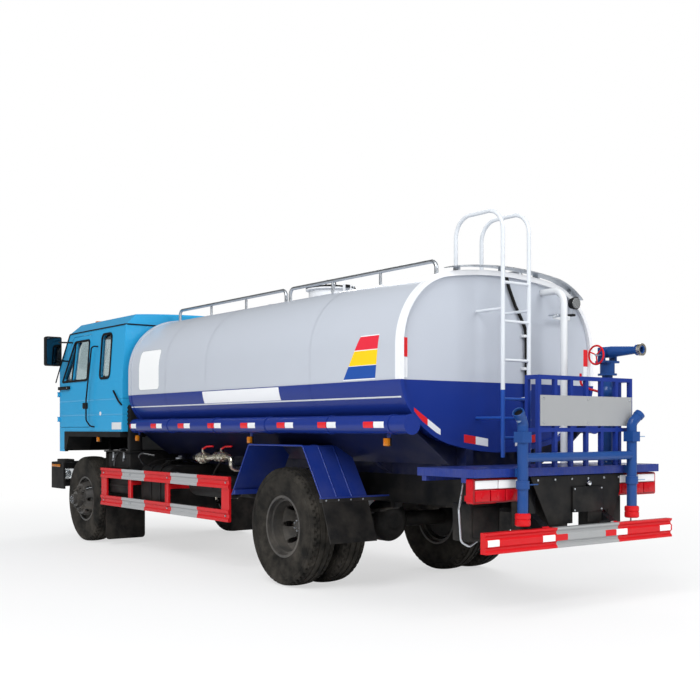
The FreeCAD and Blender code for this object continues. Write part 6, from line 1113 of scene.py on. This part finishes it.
for side, out in SIDES:
    block(f"Sun_visor_{side}", (3.300, out * 0.16, 2.560), (3.322, out * 0.78, 2.672), dash_plastic, 9, "cab", 3)
    block(f"Door_card_{side}", (2.720, out * 1.078, 1.480), (3.560, out * 1.104, 1.900), dash_plastic, 12,
        f"door_{side}")
    block(f"Arm_rest_{side}", (2.860, out * 1.030, 1.770), (3.260, out * 1.085, 1.812), black_plastic, 14,
        f"door_{side}", 3)
    turned(f"Window_crank_boss_{side}", [(0, 0.1), (0, 16), (-out * 12, 16), (-out * 16, 12), (-out * 16, 0.1)],
        (3.360, out * 1.078, 1.700), black_plastic, "Y", 20, f"door_{side}")
    tube(f"Window_crank_{side}", [(3.360, out * 1.064, 1.700), (3.315, out * 1.058, 1.640),
        (3.315, out * 1.030, 1.640)], 0.01, 0.007, chrome, f"door_{side}", 10)
    tube(f"Belt_{side}", [(2.480, out * 1.055, 2.300), (2.560, out * 1.045, 1.800), (2.600, out * 0.900, 1.560)], 0.05,
        0.012, seal_rubber, "cab", 8)
block("Inner_mirror", (3.296, -0.110, 2.470), (3.316, 0.110, 2.535), black_plastic, 8, "cab", 3)
block("Floor_mat", (2.560, -1.020, 1.4105), (3.560, 1.020, 1.4165), flap_rubber, 2, "cab")
for index, across in enumerate((0.46, 0.56, 0.66)):
    block(f"Pedal_{index}", (3.600, across - 0.026, 1.470), (3.612, across + 0.026, 1.550), seal_rubber, 4, "cab")
    tube(f"Pedal_arm_{index}", [(3.612, across, 1.510), (3.680, across, 1.600), (3.690, across, 1.640)], 0.02, 0.007,
        chassis_black, "cab", 8)


# Stage

def soft_box(name, centre, target, size, power):
    """A square studio lamp aimed at a point."""
    bpy.ops.object.light_add(type="AREA", location=centre)
    lamp = bpy.context.object
    lamp.name = name
    lamp.data.size = size
    lamp.data.energy = power
    lamp.rotation_euler = (Vector(target) - Vector(centre)).to_track_quat("-Z", "Y").to_euler()


# a matt white sheet that shows as pure white to the camera away from the truck's shadow
floor_paint, floor_tree, floor_shader = start_material("Pale_studio_floor", "#E9EAEB", 0.9)
path = add(floor_tree, "LightPath")
seen = add(floor_tree, "Math", {0: path.outputs["Is Camera Ray"], 1: path.outputs["Is Transmission Ray"]},
    operation="MAXIMUM")
spot = add(floor_tree, "VectorMath", {0: add(floor_tree, "TexCoord").outputs["Object"]}, operation="LENGTH")
far = add(floor_tree, "MapRange", {0: spot.outputs["Value"], 1: 4.0, 2: 12.0, 3: 0.60, 4: 1.0},
    interpolation_type="SMOOTHSTEP")
glow = add(floor_tree, "Emission", {"Color": (1, 1, 1, 1), "Strength": 1.0})
floor_mix = add(floor_tree, "MixShader", {0: add(floor_tree, "Math", {0: seen, 1: far}, operation="MULTIPLY"),
    1: floor_shader, 2: glow})
floor_tree.links.new(floor_mix.outputs[0], floor_tree.nodes["Material Output"].inputs["Surface"])
bpy.ops.object.select_all(action="DESELECT")
bpy.ops.mesh.primitive_plane_add(size=400)
bpy.context.object.name = "Studio_floor"
bpy.context.object.data.materials.append(floor_paint)

world = bpy.data.worlds.new("Studio_white")
bpy.context.scene.world = world
world.use_nodes = True
sky = world.node_tree
sky_path = add(sky, "LightPath")
sky_seen = add(sky, "Math", {0: sky_path.outputs["Is Camera Ray"], 1: sky_path.outputs["Is Transmission Ray"]},
    operation="MAXIMUM")
sky.nodes["Background"].inputs["Color"].default_value = (1, 1, 1, 1)
# glossy paint meets a dimmer room, as in a studio with dark flags, so that its colour stays full
sky_base = add(sky, "MapRange", {0: sky_path.outputs["Is Glossy Ray"], 1: 0.0, 2: 1.0, 3: 0.6, 4: 0.16})
strength = add(sky, "MapRange", {0: sky_seen, 1: 0.0, 2: 1.0, 3: sky_base, 4: 1.0})
sky.links.new(strength.outputs[0], sky.nodes["Background"].inputs["Strength"])

soft_box("Key_lamp", (-9, 13, 13), (-0.5, 0, 1.2), 9, 2300)
soft_box("Rear_lamp", (-16, -4, 9), (-3, 0, 1.2), 8, 950)
soft_box("Fill_lamp", (10, -12, 10), (1, 0, 1.2), 9, 1050)

bpy.ops.object.camera_add(location=(-9.416, 6.155, 1.388), rotation=(math.radians(90), 0, math.radians(-127.08)))
camera = bpy.context.object
camera.data.sensor_width = 36
camera.data.lens = 53.16
camera.data.shift_x = -0.0114
camera.data.shift_y = 0.1133
camera.data.clip_end = 500
bpy.context.scene.camera = camera
bpy.context.scene.view_settings.view_transform = "Standard"
